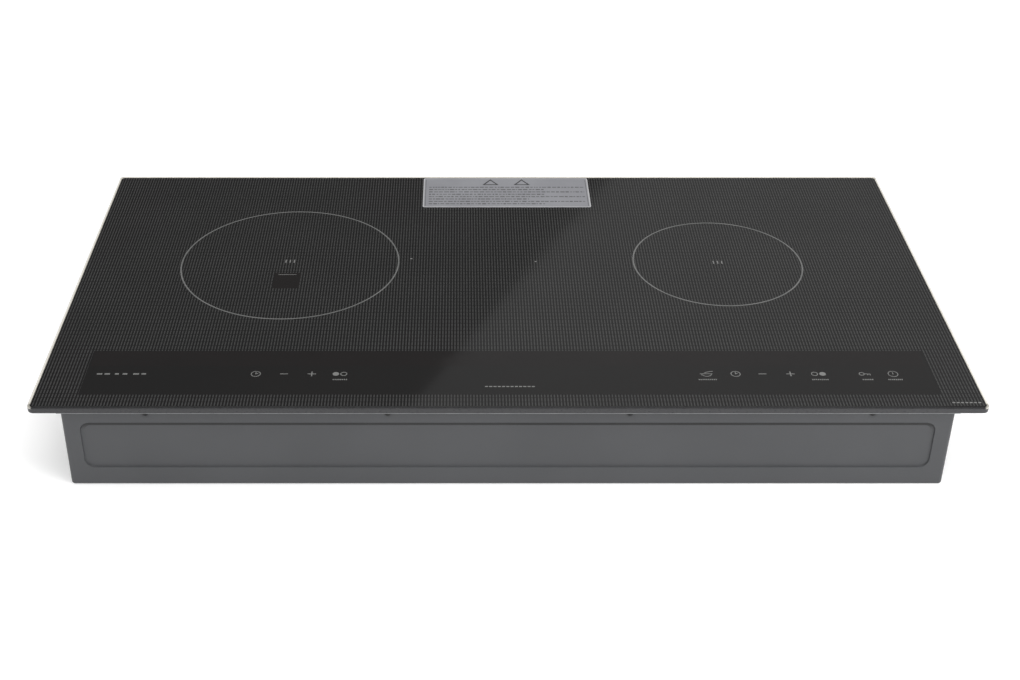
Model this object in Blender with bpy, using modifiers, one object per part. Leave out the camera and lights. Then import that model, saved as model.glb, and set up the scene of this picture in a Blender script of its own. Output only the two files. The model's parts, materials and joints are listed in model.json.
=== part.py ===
"""A two-zone built-in induction cooktop, built up from its separate pieces.

Units are metres and +Z is up. X runs across the front, and the controls face -Y. The origin
is the centre of the base, on the surface that the casing stands on.
"""

import math

import bmesh
import bpy
from mathutils import Matrix, Vector

MM = 0.001

# Driving dimensions of the whole appliance
WIDTH, DEPTH, HEIGHT = 800 * MM, 430 * MM, 84 * MM
GAP = 0.3 * MM  # between pieces that touch in the real appliance
SHEET = 1.0 * MM  # steel sheet of the casing and the support frame

# Glass and its metal edge trims
GLASS_THICKNESS = 4.0 * MM
GLASS_TOP = HEIGHT - 0.3 * MM
GLASS_BOTTOM = GLASS_TOP - GLASS_THICKNESS
GLASS_CORNER = 3.0 * MM
TRIM_WALL = 2.0 * MM
FRONT_TRIM_WALL = 2.5 * MM
TRIM_DEPTH = 7.0 * MM
TRIM_BOTTOM = HEIGHT - 5.4 * MM
FRONT_CORNER, REAR_CORNER = 5.5 * MM, 4.0 * MM

# Support frame under the glass, and the seal that meets the worktop
FLANGE_TOP = TRIM_BOTTOM - GAP
FLANGE_BOTTOM = FLANGE_TOP - SHEET
FLANGE_HALF_WIDTH = WIDTH / 2 - 12 * MM
FLANGE_INNER = 366 * MM
NOSE_HALF_WIDTH, NOSE_REACH = 376.3 * MM, 1.8 * MM  # the flange's front edge, seen under the trim
SKIRT_BOTTOM = HEIGHT - 17.3 * MM
STRIP_REAR = -124 * MM  # rear edge of the bay for the controls
BRIDGE = 12 * MM  # front-to-back width of the bar between the controls and the coils
SEAL_GAP, SEAL_THICKNESS = 0.2 * MM, 1.8 * MM
SEAL_BOTTOM = FLANGE_BOTTOM - SEAL_GAP - SEAL_THICKNESS

# Casing
OVERHANG = 25.5 * MM  # glass past the casing, at the sides and at the rear
FRONT_OVERHANG = 6.75 * MM
CASING_HALF = WIDTH / 2 - OVERHANG
CASING_FRONT = -DEPTH / 2 + FRONT_OVERHANG
CASING_REAR = DEPTH / 2 - OVERHANG
CASING_TOP = FLANGE_BOTTOM - GAP
CASING_ROUND = 3.2 * MM
PANEL_HALF, PANEL_LOW, PANEL_HIGH = 360 * MM, 17.8 * MM, 64.6 * MM
PANEL_CORNER, PANEL_STEP = 9 * MM, 1.6 * MM
FRONT_SCREW_X = (-303.4 * MM, -100.6 * MM, 102.2 * MM, 305 * MM)
FRONT_SCREW_Z = HEIGHT - 10.2 * MM

# Cooking zones: side, centre, outer and inner winding radius
COIL_Y = 30.5 * MM
COILS = (("left", -204 * MM, 95 * MM, 50 * MM), ("right", 208 * MM, 74 * MM, 24 * MM))
TRAY_BOTTOM = HEIGHT - 25 * MM
TRAY_HALF_WIDTH = 100 * MM
TRAY_REAR = 168 * MM
INFRARED = (-203 * MM, -3 * MM)

# Fans, with their intakes in the floor, and the power electronics
FAN_SIDE, FAN_HEIGHT = 92 * MM, 22 * MM
FANS = (("left", -48 * MM), ("right", 54 * MM))
FAN_Y = 112 * MM
FLOOR_STANDOFF = 7 * MM
BOARD_THICKNESS = 1.6 * MM
BOARD_TOP = SHEET + FLOOR_STANDOFF + BOARD_THICKNESS
BOARD_SIZE = (228 * MM, 150 * MM)
BOARDS = (("left", -232 * MM), ("right", 232 * MM))
BOARD_Y = 5 * MM

# Worktop clamps: a screw in the two ears of a bracket on each side wall carries a swinging arm
CLAMP_X = CASING_HALF + 8.5 * MM
CLAMP_LEVEL = 44 * MM
CLAMP_LENGTH = 44 * MM
EAR_LEVELS = (8 * MM, 52 * MM)

# Mains cable outlet in the rear wall
GLAND_X, GLAND_Z = -300 * MM, 30 * MM

# Touch keys under the control strip
KEY_Y = -163 * MM
KEY_X = (-215, -191, -167, -143, 173, 197, 220.5, 244.6, 269, 309, 332)


def fresh_collection(name):
    """Return a new collection in the scene."""
    made = bpy.data.collections.new(name)
    bpy.context.scene.collection.children.link(made)
    return made


for old in list(bpy.data.objects):
    bpy.data.objects.remove(old)
PARTS = fresh_collection("induction_cooktop")
CUTTERS = fresh_collection("cutters")


def material(name, colour, roughness, metallic=0.0):
    """Return a plain material of one colour."""
    made = bpy.data.materials.new(name)
    made.use_nodes = True
    shader = made.node_tree.nodes["Principled BSDF"]
    shader.inputs["Base Color"].default_value = (*colour, 1)
    shader.inputs["Roughness"].default_value = roughness
    shader.inputs["Metallic"].default_value = metallic
    made.diffuse_color = (*colour, 1)
    return made


BLACK_GLASS = material("black_glass", (0.012, 0.012, 0.013), 0.08)
CHAMPAGNE = material("champagne_aluminium", (0.62, 0.58, 0.52), 0.3, 1.0)
DARK_TRIM = material("dark_trim", (0.12, 0.12, 0.125), 0.35, 0.8)
SILICONE = material("black_silicone", (0.02, 0.02, 0.02), 0.6)
FOAM = material("seal_foam", (0.04, 0.04, 0.045), 0.9)
ZINC = material("zinc_steel", (0.5, 0.5, 0.51), 0.35, 1.0)
PAINTED = material("grey_paint", (0.1, 0.1, 0.105), 0.5)
SCREW_STEEL = material("blackened_steel", (0.05, 0.05, 0.05), 0.4, 0.8)
SILVER_FILM = material("silver_film", (0.5, 0.5, 0.5), 0.45, 0.4)
COPPER = material("enamelled_copper", (0.55, 0.22, 0.08), 0.35, 0.9)
BLACK_PLASTIC = material("black_plastic", (0.03, 0.03, 0.03), 0.5)
FERRITE = material("ferrite", (0.06, 0.06, 0.065), 0.5)
MICA = material("mica", (0.55, 0.5, 0.4), 0.6)
ALUMINIUM = material("aluminium", (0.75, 0.75, 0.76), 0.35, 1.0)
SPRING_STEEL = material("spring_steel", (0.6, 0.6, 0.6), 0.25, 1.0)
WHITE_RUBBER = material("white_silicone", (0.75, 0.75, 0.73), 0.6)
BOARD_GREEN = material("circuit_board", (0.02, 0.16, 0.06), 0.4)
YELLOW_FILM = material("capacitor_yellow", (0.7, 0.5, 0.05), 0.4)
RED_LENS = material("display_red", (0.25, 0.02, 0.02), 0.3)
WIRE_SLEEVE = material("wire_sleeve", (0.7, 0.68, 0.6), 0.7)


def add(name, data, finish, centre=(0, 0, 0)):
    """Place a mesh or a curve: with a finish it is a part, and without one it is a cutter."""
    made = bpy.data.objects.new(name, data)
    made.location = centre
    if finish is None:
        CUTTERS.objects.link(made)
        made.hide_render = True
        made.display_type = "WIRE"
        return made
    PARTS.objects.link(made)
    data.materials.append(finish)
    return made


def blocks(name, pieces, finish=None, centre=(0, 0, 0)):
    """Make one mesh of boxes, each given by its size and its middle, or by its size and a matrix."""
    bm = bmesh.new()
    for size, place in pieces:
        placed = place if isinstance(place, Matrix) else Matrix.Translation(place)
        bmesh.ops.create_cube(bm, size=1, matrix=placed @ Matrix.Diagonal((*size, 1)))
    mesh = bpy.data.meshes.new(name)
    bm.to_mesh(mesh)
    bm.free()
    return add(name, mesh, finish, centre)


def box(name, low, high, finish=None):
    """Make a box between two corners."""
    size = Vector(high) - Vector(low)
    return blocks(name, [(size, (0, 0, 0))], finish, (Vector(high) + Vector(low)) / 2)


def rod(name, radius, low, high, at, finish=None, sides=24, axis="Z", end_radius=None):
    """Make a round bar along an axis from low to high; at is its place on the other two axes."""
    turn = {
        "Z": Matrix(),
        "Y": Matrix.Rotation(-math.pi / 2, 4, "X"),
        "X": Matrix.Rotation(math.pi / 2, 4, "Y"),
    }
    middle = (low + high) / 2
    centre = {"Z": (*at, middle), "Y": (at[0], middle, at[1]), "X": (middle, *at)}
    bm = bmesh.new()
    bmesh.ops.create_cone(
        bm, cap_ends=True, segments=sides, radius1=radius, depth=high - low, matrix=turn[axis],
        radius2=radius if end_radius is None else end_radius,
    )
    mesh = bpy.data.meshes.new(name)
    bm.to_mesh(mesh)
    bm.free()
    mesh.shade_smooth()
    mesh.set_sharp_from_angle(angle=math.radians(35))
    return add(name, mesh, finish, centre[axis])


def turned(name, profile, centre, finish=None, steps=48):
    """Turn a closed outline of (radius, height) points, listed down the outer side first."""
    mesh = bpy.data.meshes.new(name)
    points = [(radius, 0, height) for radius, height in profile]
    mesh.from_pydata(points, [(i, (i + 1) % len(points)) for i in range(len(points))], [])
    made = add(name, mesh, finish, centre)
    screw = made.modifiers.new("turn", "SCREW")
    screw.steps = screw.render_steps = steps
    screw.use_merge_vertices = True
    screw.merge_threshold = 0.0001 * MM
    return made


def ring(name, outer, inner, low, high, at, finish=None, steps=48):
    """Turn a flat ring."""
    profile = [(outer, high), (outer, low), (inner, low), (inner, high)]
    return turned(name, profile, (*at, 0), finish, steps)


def rounded(half_x, low_y, high_y, radii, steps=4):
    """Return a rectangle's outline, symmetric about X = 0, with (front, rear) corner radii."""
    corners = (
        (half_x, high_y, radii[1], 0), (-half_x, high_y, radii[1], 90),
        (-half_x, low_y, radii[0], 180), (half_x, low_y, radii[0], 270),
    )
    outline = []
    for x, y, radius, start in corners:
        across, along = (x - math.copysign(radius, x)), (y - radius if y == high_y else y + radius)
        for step in range(steps + 1 if radius else 1):
            angle = math.radians(start + 90 * step / steps)
            outline.append((across + radius * math.cos(angle), along + radius * math.sin(angle)))
    return outline


def as_mesh(curve_object):
    """Swap a curve object for the mesh it shows, with its loose caps welded."""
    depsgraph = bpy.context.evaluated_depsgraph_get()
    mesh = bpy.data.meshes.new_from_object(curve_object.evaluated_get(depsgraph))
    bm = bmesh.new()
    bm.from_mesh(mesh)
    bmesh.ops.remove_doubles(bm, verts=bm.verts, dist=0.001 * MM)
    bm.to_mesh(mesh)
    bm.free()
    name = curve_object.name
    made = bpy.data.objects.new(name, mesh)
    made.matrix_world = curve_object.matrix_world.copy()
    for home in curve_object.users_collection:
        home.objects.link(made)
    made.hide_render, made.display_type = curve_object.hide_render, curve_object.display_type
    bpy.data.objects.remove(curve_object)
    made.name = name
    return made


def plate(name, outlines, low, high, finish=None, axis="Z"):
    """Extrude a flat outline, with any holes after it, from low to high along an axis."""
    curve = bpy.data.curves.new(name, "CURVE")
    curve.dimensions, curve.fill_mode, curve.extrude = "2D", "BOTH", (high - low) / 2
    for outline in outlines:
        spline = curve.splines.new("POLY")
        spline.points.add(len(outline) - 1)
        spline.use_cyclic_u = True
        for point, (x, y) in zip(spline.points, outline):
            point.co = (x, y, 0, 1)
    middle = (low + high) / 2
    made = add(name, curve, finish)
    turns = {
        "Z": Matrix.Translation((0, 0, middle)),
        "Y": Matrix.Translation((0, middle, 0)) @ Matrix.Rotation(math.pi / 2, 4, "X"),
        "X": Matrix.Translation((middle, 0, 0)) @ Matrix(((0, 0, 1), (1, 0, 0), (0, 1, 0))).to_4x4(),
    }
    made.matrix_world = turns[axis]
    bpy.context.view_layer.update()
    return as_mesh(made)


def tube(name, points, radius, finish, sides_level=2):
    """Run a round wire through a list of points."""
    curve = bpy.data.curves.new(name, "CURVE")
    curve.dimensions, curve.bevel_depth, curve.bevel_resolution = "3D", radius, sides_level
    curve.use_fill_caps = True
    spline = curve.splines.new("POLY")
    spline.points.add(len(points) - 1)
    for point, place in zip(spline.points, points):
        point.co = (*place, 1)
    return add(name, curve, finish)


def smooth_route(points, steps=4):
    """Return a Catmull-Rom curve through points, with several steps in each stretch."""
    ends = [2 * points[0] - points[1], *points, 2 * points[-1] - points[-2]]
    route = []
    for i in range(1, len(ends) - 2):
        before, start, end, after = ends[i - 1 : i + 3]
        for step in range(steps):
            t = step / steps
            bend = 2 * before - 5 * start + 4 * end - after
            twist = 3 * start - before - 3 * end + after
            route.append((2 * start + (end - before) * t + bend * t * t + twist * t**3) / 2)
    return [*route, points[-1]]


def combine(kind, target, *others):
    """Cut other shapes out of a part, or join them to it."""
    for other in others:
        step = target.modifiers.new(other.name, "BOOLEAN")
        step.operation, step.solver, step.object = kind, "EXACT", other
    return target


def cut(target, *cutters):
    """Cut shapes out of a part."""
    return combine("DIFFERENCE", target, *cutters)


def join(target, *others):
    """Join shapes to a part, so that they are one body."""
    return combine("UNION", target, *others)


def bevel(target, width, segments=2, angle=40):
    """Round a part's sharp edges."""
    step = target.modifiers.new("round", "BEVEL")
    step.width, step.segments, step.angle_limit = width, segments, math.radians(angle)
    return target


def glass_outline(grow=0.0):
    """Return the glass plate's outline in plan, made larger all round by grow."""
    half = WIDTH / 2 - TRIM_WALL - GAP + grow
    front = -DEPTH / 2 + FRONT_TRIM_WALL + GAP - grow
    rear = DEPTH / 2 - TRIM_WALL - GAP + grow
    corner = GLASS_CORNER + grow
    return rounded(half, front, rear, (corner, corner))


def make_glass():
    """Make the ceramic glass plate."""
    glass = plate("glass_top", [glass_outline()], GLASS_BOTTOM, GLASS_TOP, BLACK_GLASS)
    bevel(glass, 0.4 * MM, segments=1)


def make_trims():
    """Make the four edge trims: each has an outer wall and a lip that goes under the glass."""
    pocket = plate("glass_pocket", [glass_outline(GAP)], GLASS_BOTTOM - GAP, HEIGHT + 1 * MM)
    front_edge, rear_edge = -DEPTH / 2, DEPTH / 2
    outline = rounded(WIDTH / 2, front_edge, front_edge + TRIM_DEPTH, (FRONT_CORNER, 0), steps=6)
    front = plate("front_trim", [outline], TRIM_BOTTOM, HEIGHT, DARK_TRIM)
    cut(front, pocket)
    outline = rounded(WIDTH / 2, rear_edge - TRIM_DEPTH, rear_edge, (0, REAR_CORNER), steps=6)
    rear = plate("rear_trim", [outline], TRIM_BOTTOM, HEIGHT, CHAMPAGNE)
    cut(rear, pocket)
    for side, sign in (("left", -1), ("right", 1)):
        outer, lip = sign * WIDTH / 2, sign * (WIDTH / 2 - TRIM_DEPTH)
        low = (min(outer, lip), front_edge + TRIM_DEPTH + GAP, TRIM_BOTTOM)
        high = (max(outer, lip), rear_edge - TRIM_DEPTH - GAP, HEIGHT)
        cut(box(f"{side}_trim", low, high, CHAMPAGNE), pocket)


def make_support_frame():
    """Make the sheet frame under the glass, the adhesive on it and the seal below it."""
    front, rear = -DEPTH / 2 + TRIM_DEPTH + GAP, DEPTH / 2 - TRIM_DEPTH - GAP
    nose, shoulder = -DEPTH / 2 + NOSE_REACH, front - GAP
    outer = [
        (FLANGE_HALF_WIDTH, front), (FLANGE_HALF_WIDTH, rear), (-FLANGE_HALF_WIDTH, rear),
        (-FLANGE_HALF_WIDTH, front), (-NOSE_HALF_WIDTH, shoulder), (-NOSE_HALF_WIDTH, nose),
        (NOSE_HALF_WIDTH, nose), (NOSE_HALF_WIDTH, shoulder),
    ]
    bay = rounded(FLANGE_INNER, front + 9 * MM, STRIP_REAR, (0, 0))
    window = rounded(FLANGE_INNER, STRIP_REAR + BRIDGE, TRAY_REAR + GAP, (0, 0))
    frame = plate("support_frame", [outer, bay, window], FLANGE_BOTTOM, FLANGE_TOP, ZINC)
    half, low, high, radius = CASING_HALF, CASING_FRONT, CASING_REAR, CASING_ROUND
    inside = SHEET + GAP
    skirt_outer = rounded(half - inside, low + inside, high - inside, (radius, radius))
    inside += SHEET
    skirt_inner = rounded(half - inside, low + inside, high - inside, (radius, radius))
    skirt = plate("frame_skirt", [skirt_outer, skirt_inner], SKIRT_BOTTOM, FLANGE_BOTTOM + SHEET / 2)
    join(frame, skirt)
    for i, x in enumerate(FRONT_SCREW_X):
        at = (x, FRONT_SCREW_Z)
        hole = rod(f"frame_hole_{i}", 1.9 * MM, low, low + 6 * MM, at, sides=12, axis="Y")
        cut(frame, hole)
    bead_outer = rounded(FLANGE_HALF_WIDTH - 1 * MM, front + 1 * MM, rear - 1 * MM, (0, 0))
    bead_inner = rounded(FLANGE_INNER + 2 * MM, front + 7 * MM, TRAY_REAR + 6 * MM, (0, 0))
    bead_low, bead_high = FLANGE_TOP + SEAL_GAP, GLASS_BOTTOM - SEAL_GAP
    plate("glass_adhesive", [bead_outer, bead_inner], bead_low, bead_high, SILICONE)
    edge, inner = FLANGE_HALF_WIDTH - 2 * MM, CASING_HALF + 3 * MM
    back, inner_back = rear - 2 * MM, CASING_REAR + 3 * MM
    track = [
        (edge, front), (edge, back), (-edge, back), (-edge, front),
        (-inner, front), (-inner, inner_back), (inner, inner_back), (inner, front),
    ]
    plate("worktop_seal", [track], SEAL_BOTTOM, FLANGE_BOTTOM - SEAL_GAP, FOAM)


def wall_recess(name, grow):
    """Make the cutter for the sunk panel of the front wall; grow moves it in by the sheet."""
    corners = (PANEL_CORNER, PANEL_CORNER)
    edge = rounded(PANEL_HALF + grow, PANEL_LOW - grow, PANEL_HIGH + grow, corners, steps=5)
    front = CASING_FRONT + PANEL_STEP + grow
    return plate(name, [edge], CASING_FRONT - 5 * MM, front, axis="Y")


def fan_slots(x):
    """Return the slots of one round air intake in the floor."""
    pitch, width, reach = 8 * MM, 3.2 * MM, 41 * MM
    slots = []
    for row in range(-4, 5):
        length = 2 * math.sqrt(reach**2 - (row * pitch) ** 2)
        for half in (-1, 1):
            middle = (x + half * (length / 4 + 1.5 * MM), FAN_Y + row * pitch, SHEET / 2)
            slots.append(((length / 2 - 3 * MM, width, 4 * SHEET), middle))
    return slots


def rear_slots():
    """Return the upright air outlets in the rear wall."""
    columns = [side * (70 + 12 * i) * MM for side in (-1, 1) for i in range(10)]
    return [((4 * MM, 6 * SHEET, 34 * MM), (x, CASING_REAR, 40 * MM)) for x in columns]


def make_casing():
    """Make the painted sheet-steel tray, with its sunk front panel and its vents."""
    low, high = (-CASING_HALF, CASING_FRONT, 0), (CASING_HALF, CASING_REAR, CASING_TOP + 10 * MM)
    casing = box("casing", low, high, PAINTED)
    bevel(casing, CASING_ROUND, segments=3)
    cut(casing, wall_recess("panel_outside", 0))
    cavity = box(
        "casing_cavity",
        (-CASING_HALF + SHEET, CASING_FRONT + SHEET, SHEET),
        (CASING_HALF - SHEET, CASING_REAR - SHEET, CASING_TOP + 20 * MM),
    )
    bevel(cavity, CASING_ROUND - SHEET, segments=3)
    cut(cavity, wall_recess("panel_inside", SHEET))
    trim_off = box("casing_rim", (-WIDTH, -DEPTH, CASING_TOP), (WIDTH, DEPTH, HEIGHT * 2))
    cut(casing, cavity, trim_off)
    vents = [slot for _, x in FANS for slot in fan_slots(x)] + rear_slots()
    cut(casing, blocks("vents", vents))
    for i, x in enumerate(FRONT_SCREW_X):
        sink = rod(
            f"screw_sink_{i}", 4.4 * MM, CASING_FRONT - 0.2 * MM, CASING_FRONT + SHEET + 0.2 * MM,
            (x, FRONT_SCREW_Z), sides=24, axis="Y", end_radius=2.0 * MM,
        )
        cut(casing, sink)
    at = (GLAND_X, GLAND_Z)
    hole = rod("gland_hole", 9 * MM, CASING_REAR - 4 * MM, CASING_REAR + 4 * MM, at, axis="Y")
    cut(casing, hole)


def make_front_screws():
    """Make the four countersunk screws that hold the casing's front wall to the frame."""
    for i, x in enumerate(FRONT_SCREW_X):
        at = (x, FRONT_SCREW_Z)
        face = CASING_FRONT + 0.25 * MM
        screw = rod(
            f"front_screw_{i + 1}", 2.6 * MM, face, face + 1.0 * MM, at, SCREW_STEEL, 16, "Y", 1.6 * MM,
        )
        near, far = face + 0.6 * MM, face + 9 * MM
        join(screw, rod(f"front_shank_{i}", 1.55 * MM, near, far, at, sides=12, axis="Y"))


def make_clamps():
    """Make the two worktop clamps: a swinging arm on an upright screw in each side bracket."""
    for side, sign in (("left", -1), ("right", 1)):
        x = sign * CLAMP_X
        thickness, half_width = 3 * MM, 6 * MM
        wall, reach, ear = sign * (CASING_HALF + GAP), sign * (CLAMP_X + 6.5 * MM), sign * 1.5 * MM
        low, high = (level + 0.75 * MM for level in EAR_LEVELS)
        section = [
            (wall, low - abs(ear)), (reach, low - abs(ear)), (reach, low), (wall + ear, low),
            (wall + ear, high - abs(ear)), (reach, high - abs(ear)), (reach, high), (wall, high),
        ]
        bracket = plate(f"{side}_clamp_bracket", [section], -7 * MM, 7 * MM, ZINC, axis="Y")
        cut(bracket, rod(f"{side}_ear_holes", 2.9 * MM, 0.5 * MM, CASING_TOP, (x, 0), sides=16))
        hub = rod(f"{side}_clamp", half_width, -thickness / 2, thickness / 2, (0, 0), ZINC, 24)
        hub.location = (x, 0, CLAMP_LEVEL)
        low, high = (-half_width, 0, -thickness / 2), (half_width, CLAMP_LENGTH, thickness / 2)
        arm = box(f"{side}_clamp_arm", low, high)
        arm.location += Vector((x, 0, CLAMP_LEVEL))
        tip = box(f"{side}_clamp_tip", (-half_width, 36 * MM, 0), (half_width, CLAMP_LENGTH, 5 * MM))
        tip.location += Vector((x, 0, CLAMP_LEVEL))
        join(hub, arm, tip)
        cut(hub, rod(f"{side}_clamp_bore", 2.9 * MM, 0, CASING_TOP, (x, 0), sides=16))
        head = EAR_LEVELS[0] - 5.5 * MM
        screw = rod(f"{side}_clamp_screw", 4.5 * MM, head, head + 4 * MM, (x, 0), SCREW_STEEL, 6)
        tip = EAR_LEVELS[1] + 5 * MM
        join(screw, rod(f"{side}_clamp_thread", 2.5 * MM, head + 2 * MM, tip, (x, 0), sides=16))


def make_coil(side, x, outer, inner):
    """Make one zone's induction coil with its carrier, ferrites, shield tray and insulation."""
    at = (x, COIL_Y)
    front, rear = STRIP_REAR + BRIDGE, TRAY_REAR
    top, low, sheet = FLANGE_BOTTOM - GAP, TRAY_BOTTOM, 1.5 * MM
    lip = 9 * MM
    section = [
        (front - lip, top - sheet), (front + sheet, top - sheet), (front + sheet, low + sheet),
        (rear - sheet, low + sheet), (rear - sheet, top - sheet), (rear + lip, top - sheet),
        (rear + lip, top), (rear - 2 * sheet, top), (rear - 2 * sheet, low + 2 * sheet),
        (front + 2 * sheet, low + 2 * sheet), (front + 2 * sheet, top), (front - lip, top),
    ]
    tray_low, tray_high = x - TRAY_HALF_WIDTH, x + TRAY_HALF_WIDTH
    plate(f"{side}_shield_tray", [section], tray_low, tray_high, ALUMINIUM, axis="X")
    bed = low + 2 * sheet + GAP
    rim = outer + 2 * MM
    carrier = ring(f"{side}_coil_carrier", rim, 12 * MM, bed, bed + 4 * MM, at, BLACK_PLASTIC)
    hub_top = bed + 14.7 * MM
    hub_profile = [
        (12.5 * MM, hub_top), (12.5 * MM, bed + 1 * MM), (3.6 * MM, bed + 1 * MM),
        (3.6 * MM, bed + 3 * MM), (9 * MM, bed + 3 * MM), (9 * MM, hub_top),
    ]
    join(carrier, turned(f"{side}_carrier_hub", hub_profile, (*at, 0), steps=32))
    ferrite_low = bed + 4 * MM + GAP
    star = ring(f"{side}_ferrites", 22 * MM, 15 * MM, ferrite_low, ferrite_low + 4 * MM, at, FERRITE)
    bars = []
    for i in range(8):
        turn = Matrix.Translation((*at, 0)) @ Matrix.Rotation(math.radians(22.5 + 45 * i), 4, "Z")
        length = outer - 18 * MM
        place = turn @ Matrix.Translation((18 * MM + length / 2, 0, ferrite_low + 2 * MM))
        bars.append(((length, 9 * MM, 4 * MM), place))
    join(star, blocks(f"{side}_ferrite_bars", bars))
    winding_low = ferrite_low + 4 * MM + GAP
    ring(f"{side}_coil_winding", outer, inner, winding_low, winding_low + 5 * MM, at, COPPER)
    sheet_low = winding_low + 5 * MM + GAP
    sheet_high = sheet_low + 0.8 * MM
    cover = ring(f"{side}_mica_sheet", rim, 13.5 * MM, sheet_low, sheet_high, at, MICA)
    if side == "left":
        passage = rod("infrared_passage", 8.5 * MM, bed - 1 * MM, HEIGHT, INFRARED)
        cut(carrier, passage)
        cut(cover, passage)
    make_sensor(side, at, bed)
    return winding_low


def make_sensor(side, at, bed):
    """Make the sprung temperature sensor that presses on the glass from the coil's hub."""
    top = GLASS_BOTTOM - GAP
    head_low = top - 5 * MM
    sensor = rod(f"{side}_temperature_sensor", 7.5 * MM, head_low, top, at, WHITE_RUBBER)
    join(sensor, rod(f"{side}_sensor_stem", 3 * MM, bed + 1.7 * MM, head_low + 1 * MM, at, sides=16))
    wire, radius, turns, per_turn = 0.45 * MM, 5.4 * MM, 5, 10
    low, high = bed + 3.2 * MM + wire, head_low - 0.2 * MM - wire
    helix = []
    for i in range(turns * per_turn + 1):
        angle, share = 2 * math.pi * i / per_turn, i / (turns * per_turn)
        across, along = radius * math.cos(angle), radius * math.sin(angle)
        helix.append((at[0] + across, at[1] + along, low + (high - low) * share))
    tube(f"{side}_sensor_spring", helix, wire, SPRING_STEEL, sides_level=1)


def make_infrared_sensor(bed):
    """Make the infrared pan sensor that looks up through the glass inside the left coil."""
    x, y = INFRARED
    top = GLASS_BOTTOM - 0.6 * MM
    barrel = rod("infrared_sensor", 6.8 * MM, bed + 1 * MM, top, (x, y), BLACK_PLASTIC, 20)
    lens_bore = rod("infrared_bore", 4.5 * MM, GLASS_BOTTOM - 8 * MM, HEIGHT, (x, y), sides=16)
    cut(barrel, lens_bore)


def make_coil_lead(side, x, outer, winding_low):
    """Make the sleeved wire from a coil down to its board."""
    inward = 1 if x < 0 else -1
    level = winding_low + 2.5 * MM
    edge = x + inward * (outer + 3.5 * MM)
    drop = x + inward * (TRAY_HALF_WIDTH + 9 * MM)
    route = [
        Vector((edge, COIL_Y, level)),
        Vector((edge + inward * 4 * MM, COIL_Y, level)),
        Vector((drop, COIL_Y - 2 * MM, level - 12 * MM)),
        Vector((drop, COIL_Y - 10 * MM, 38 * MM)),
        Vector((drop - inward * 10 * MM, COIL_Y - 18 * MM, BOARD_TOP + 8 * MM)),
        Vector((drop - inward * 28 * MM, COIL_Y - 22 * MM, BOARD_TOP + 3.2 * MM)),
    ]
    tube(f"{side}_coil_lead", smooth_route(route), 2.5 * MM, WIRE_SLEEVE, sides_level=1)


def make_fan(side, x):
    """Make one axial fan: a square housing with its motor base, and the rotor above it."""
    half, low = FAN_SIDE / 2, SHEET + GAP
    corner = Vector((half, half, FAN_HEIGHT / 2))
    middle = Vector((x, FAN_Y, low + FAN_HEIGHT / 2))
    housing = box(f"{side}_fan_housing", middle - corner, middle + corner, BLACK_PLASTIC)
    cut(housing, rod(f"{side}_fan_mouth", 43 * MM, 0, HEIGHT, (x, FAN_Y), sides=40))
    base = rod(f"{side}_motor_base", 18 * MM, low + 0.5 * MM, low + 4 * MM, (x, FAN_Y))
    struts = []
    hub = Matrix.Translation((x, FAN_Y, low + 2.5 * MM))
    for i in range(4):
        turn = hub @ Matrix.Rotation(math.radians(45 + 90 * i), 4, "Z")
        struts.append(((28 * MM, 4 * MM, 2.5 * MM), turn @ Matrix.Translation((30 * MM, 0, 0))))
    join(housing, base, blocks(f"{side}_struts", struts))
    cut(housing, rod(f"{side}_bearing", 2.0 * MM, 0, HEIGHT, (x, FAN_Y), sides=16))
    hub_low = low + 4.6 * MM
    rotor = rod(f"{side}_fan_rotor", 18 * MM, 0, 14 * MM, (0, 0), BLACK_PLASTIC, 28)
    rotor.location = (x, FAN_Y, hub_low + 7 * MM)
    blades, count, span = [], 9, 24 * MM
    root, pitch = Matrix.Translation((16 * MM + span / 2, 0, 0)), Matrix.Rotation(math.radians(38), 4, "X")
    for i in range(count):
        turn = Matrix.Rotation(2 * math.pi * i / count, 4, "Z")
        blades.append(((span, 17 * MM, 1.5 * MM), turn @ root @ pitch))
    shaft = rod(f"{side}_fan_shaft", 1.6 * MM, low + 0.5 * MM, hub_low + 2 * MM, (x, FAN_Y), sides=16)
    join(rotor, blocks(f"{side}_fan_blades", blades, centre=rotor.location), shaft)


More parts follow.
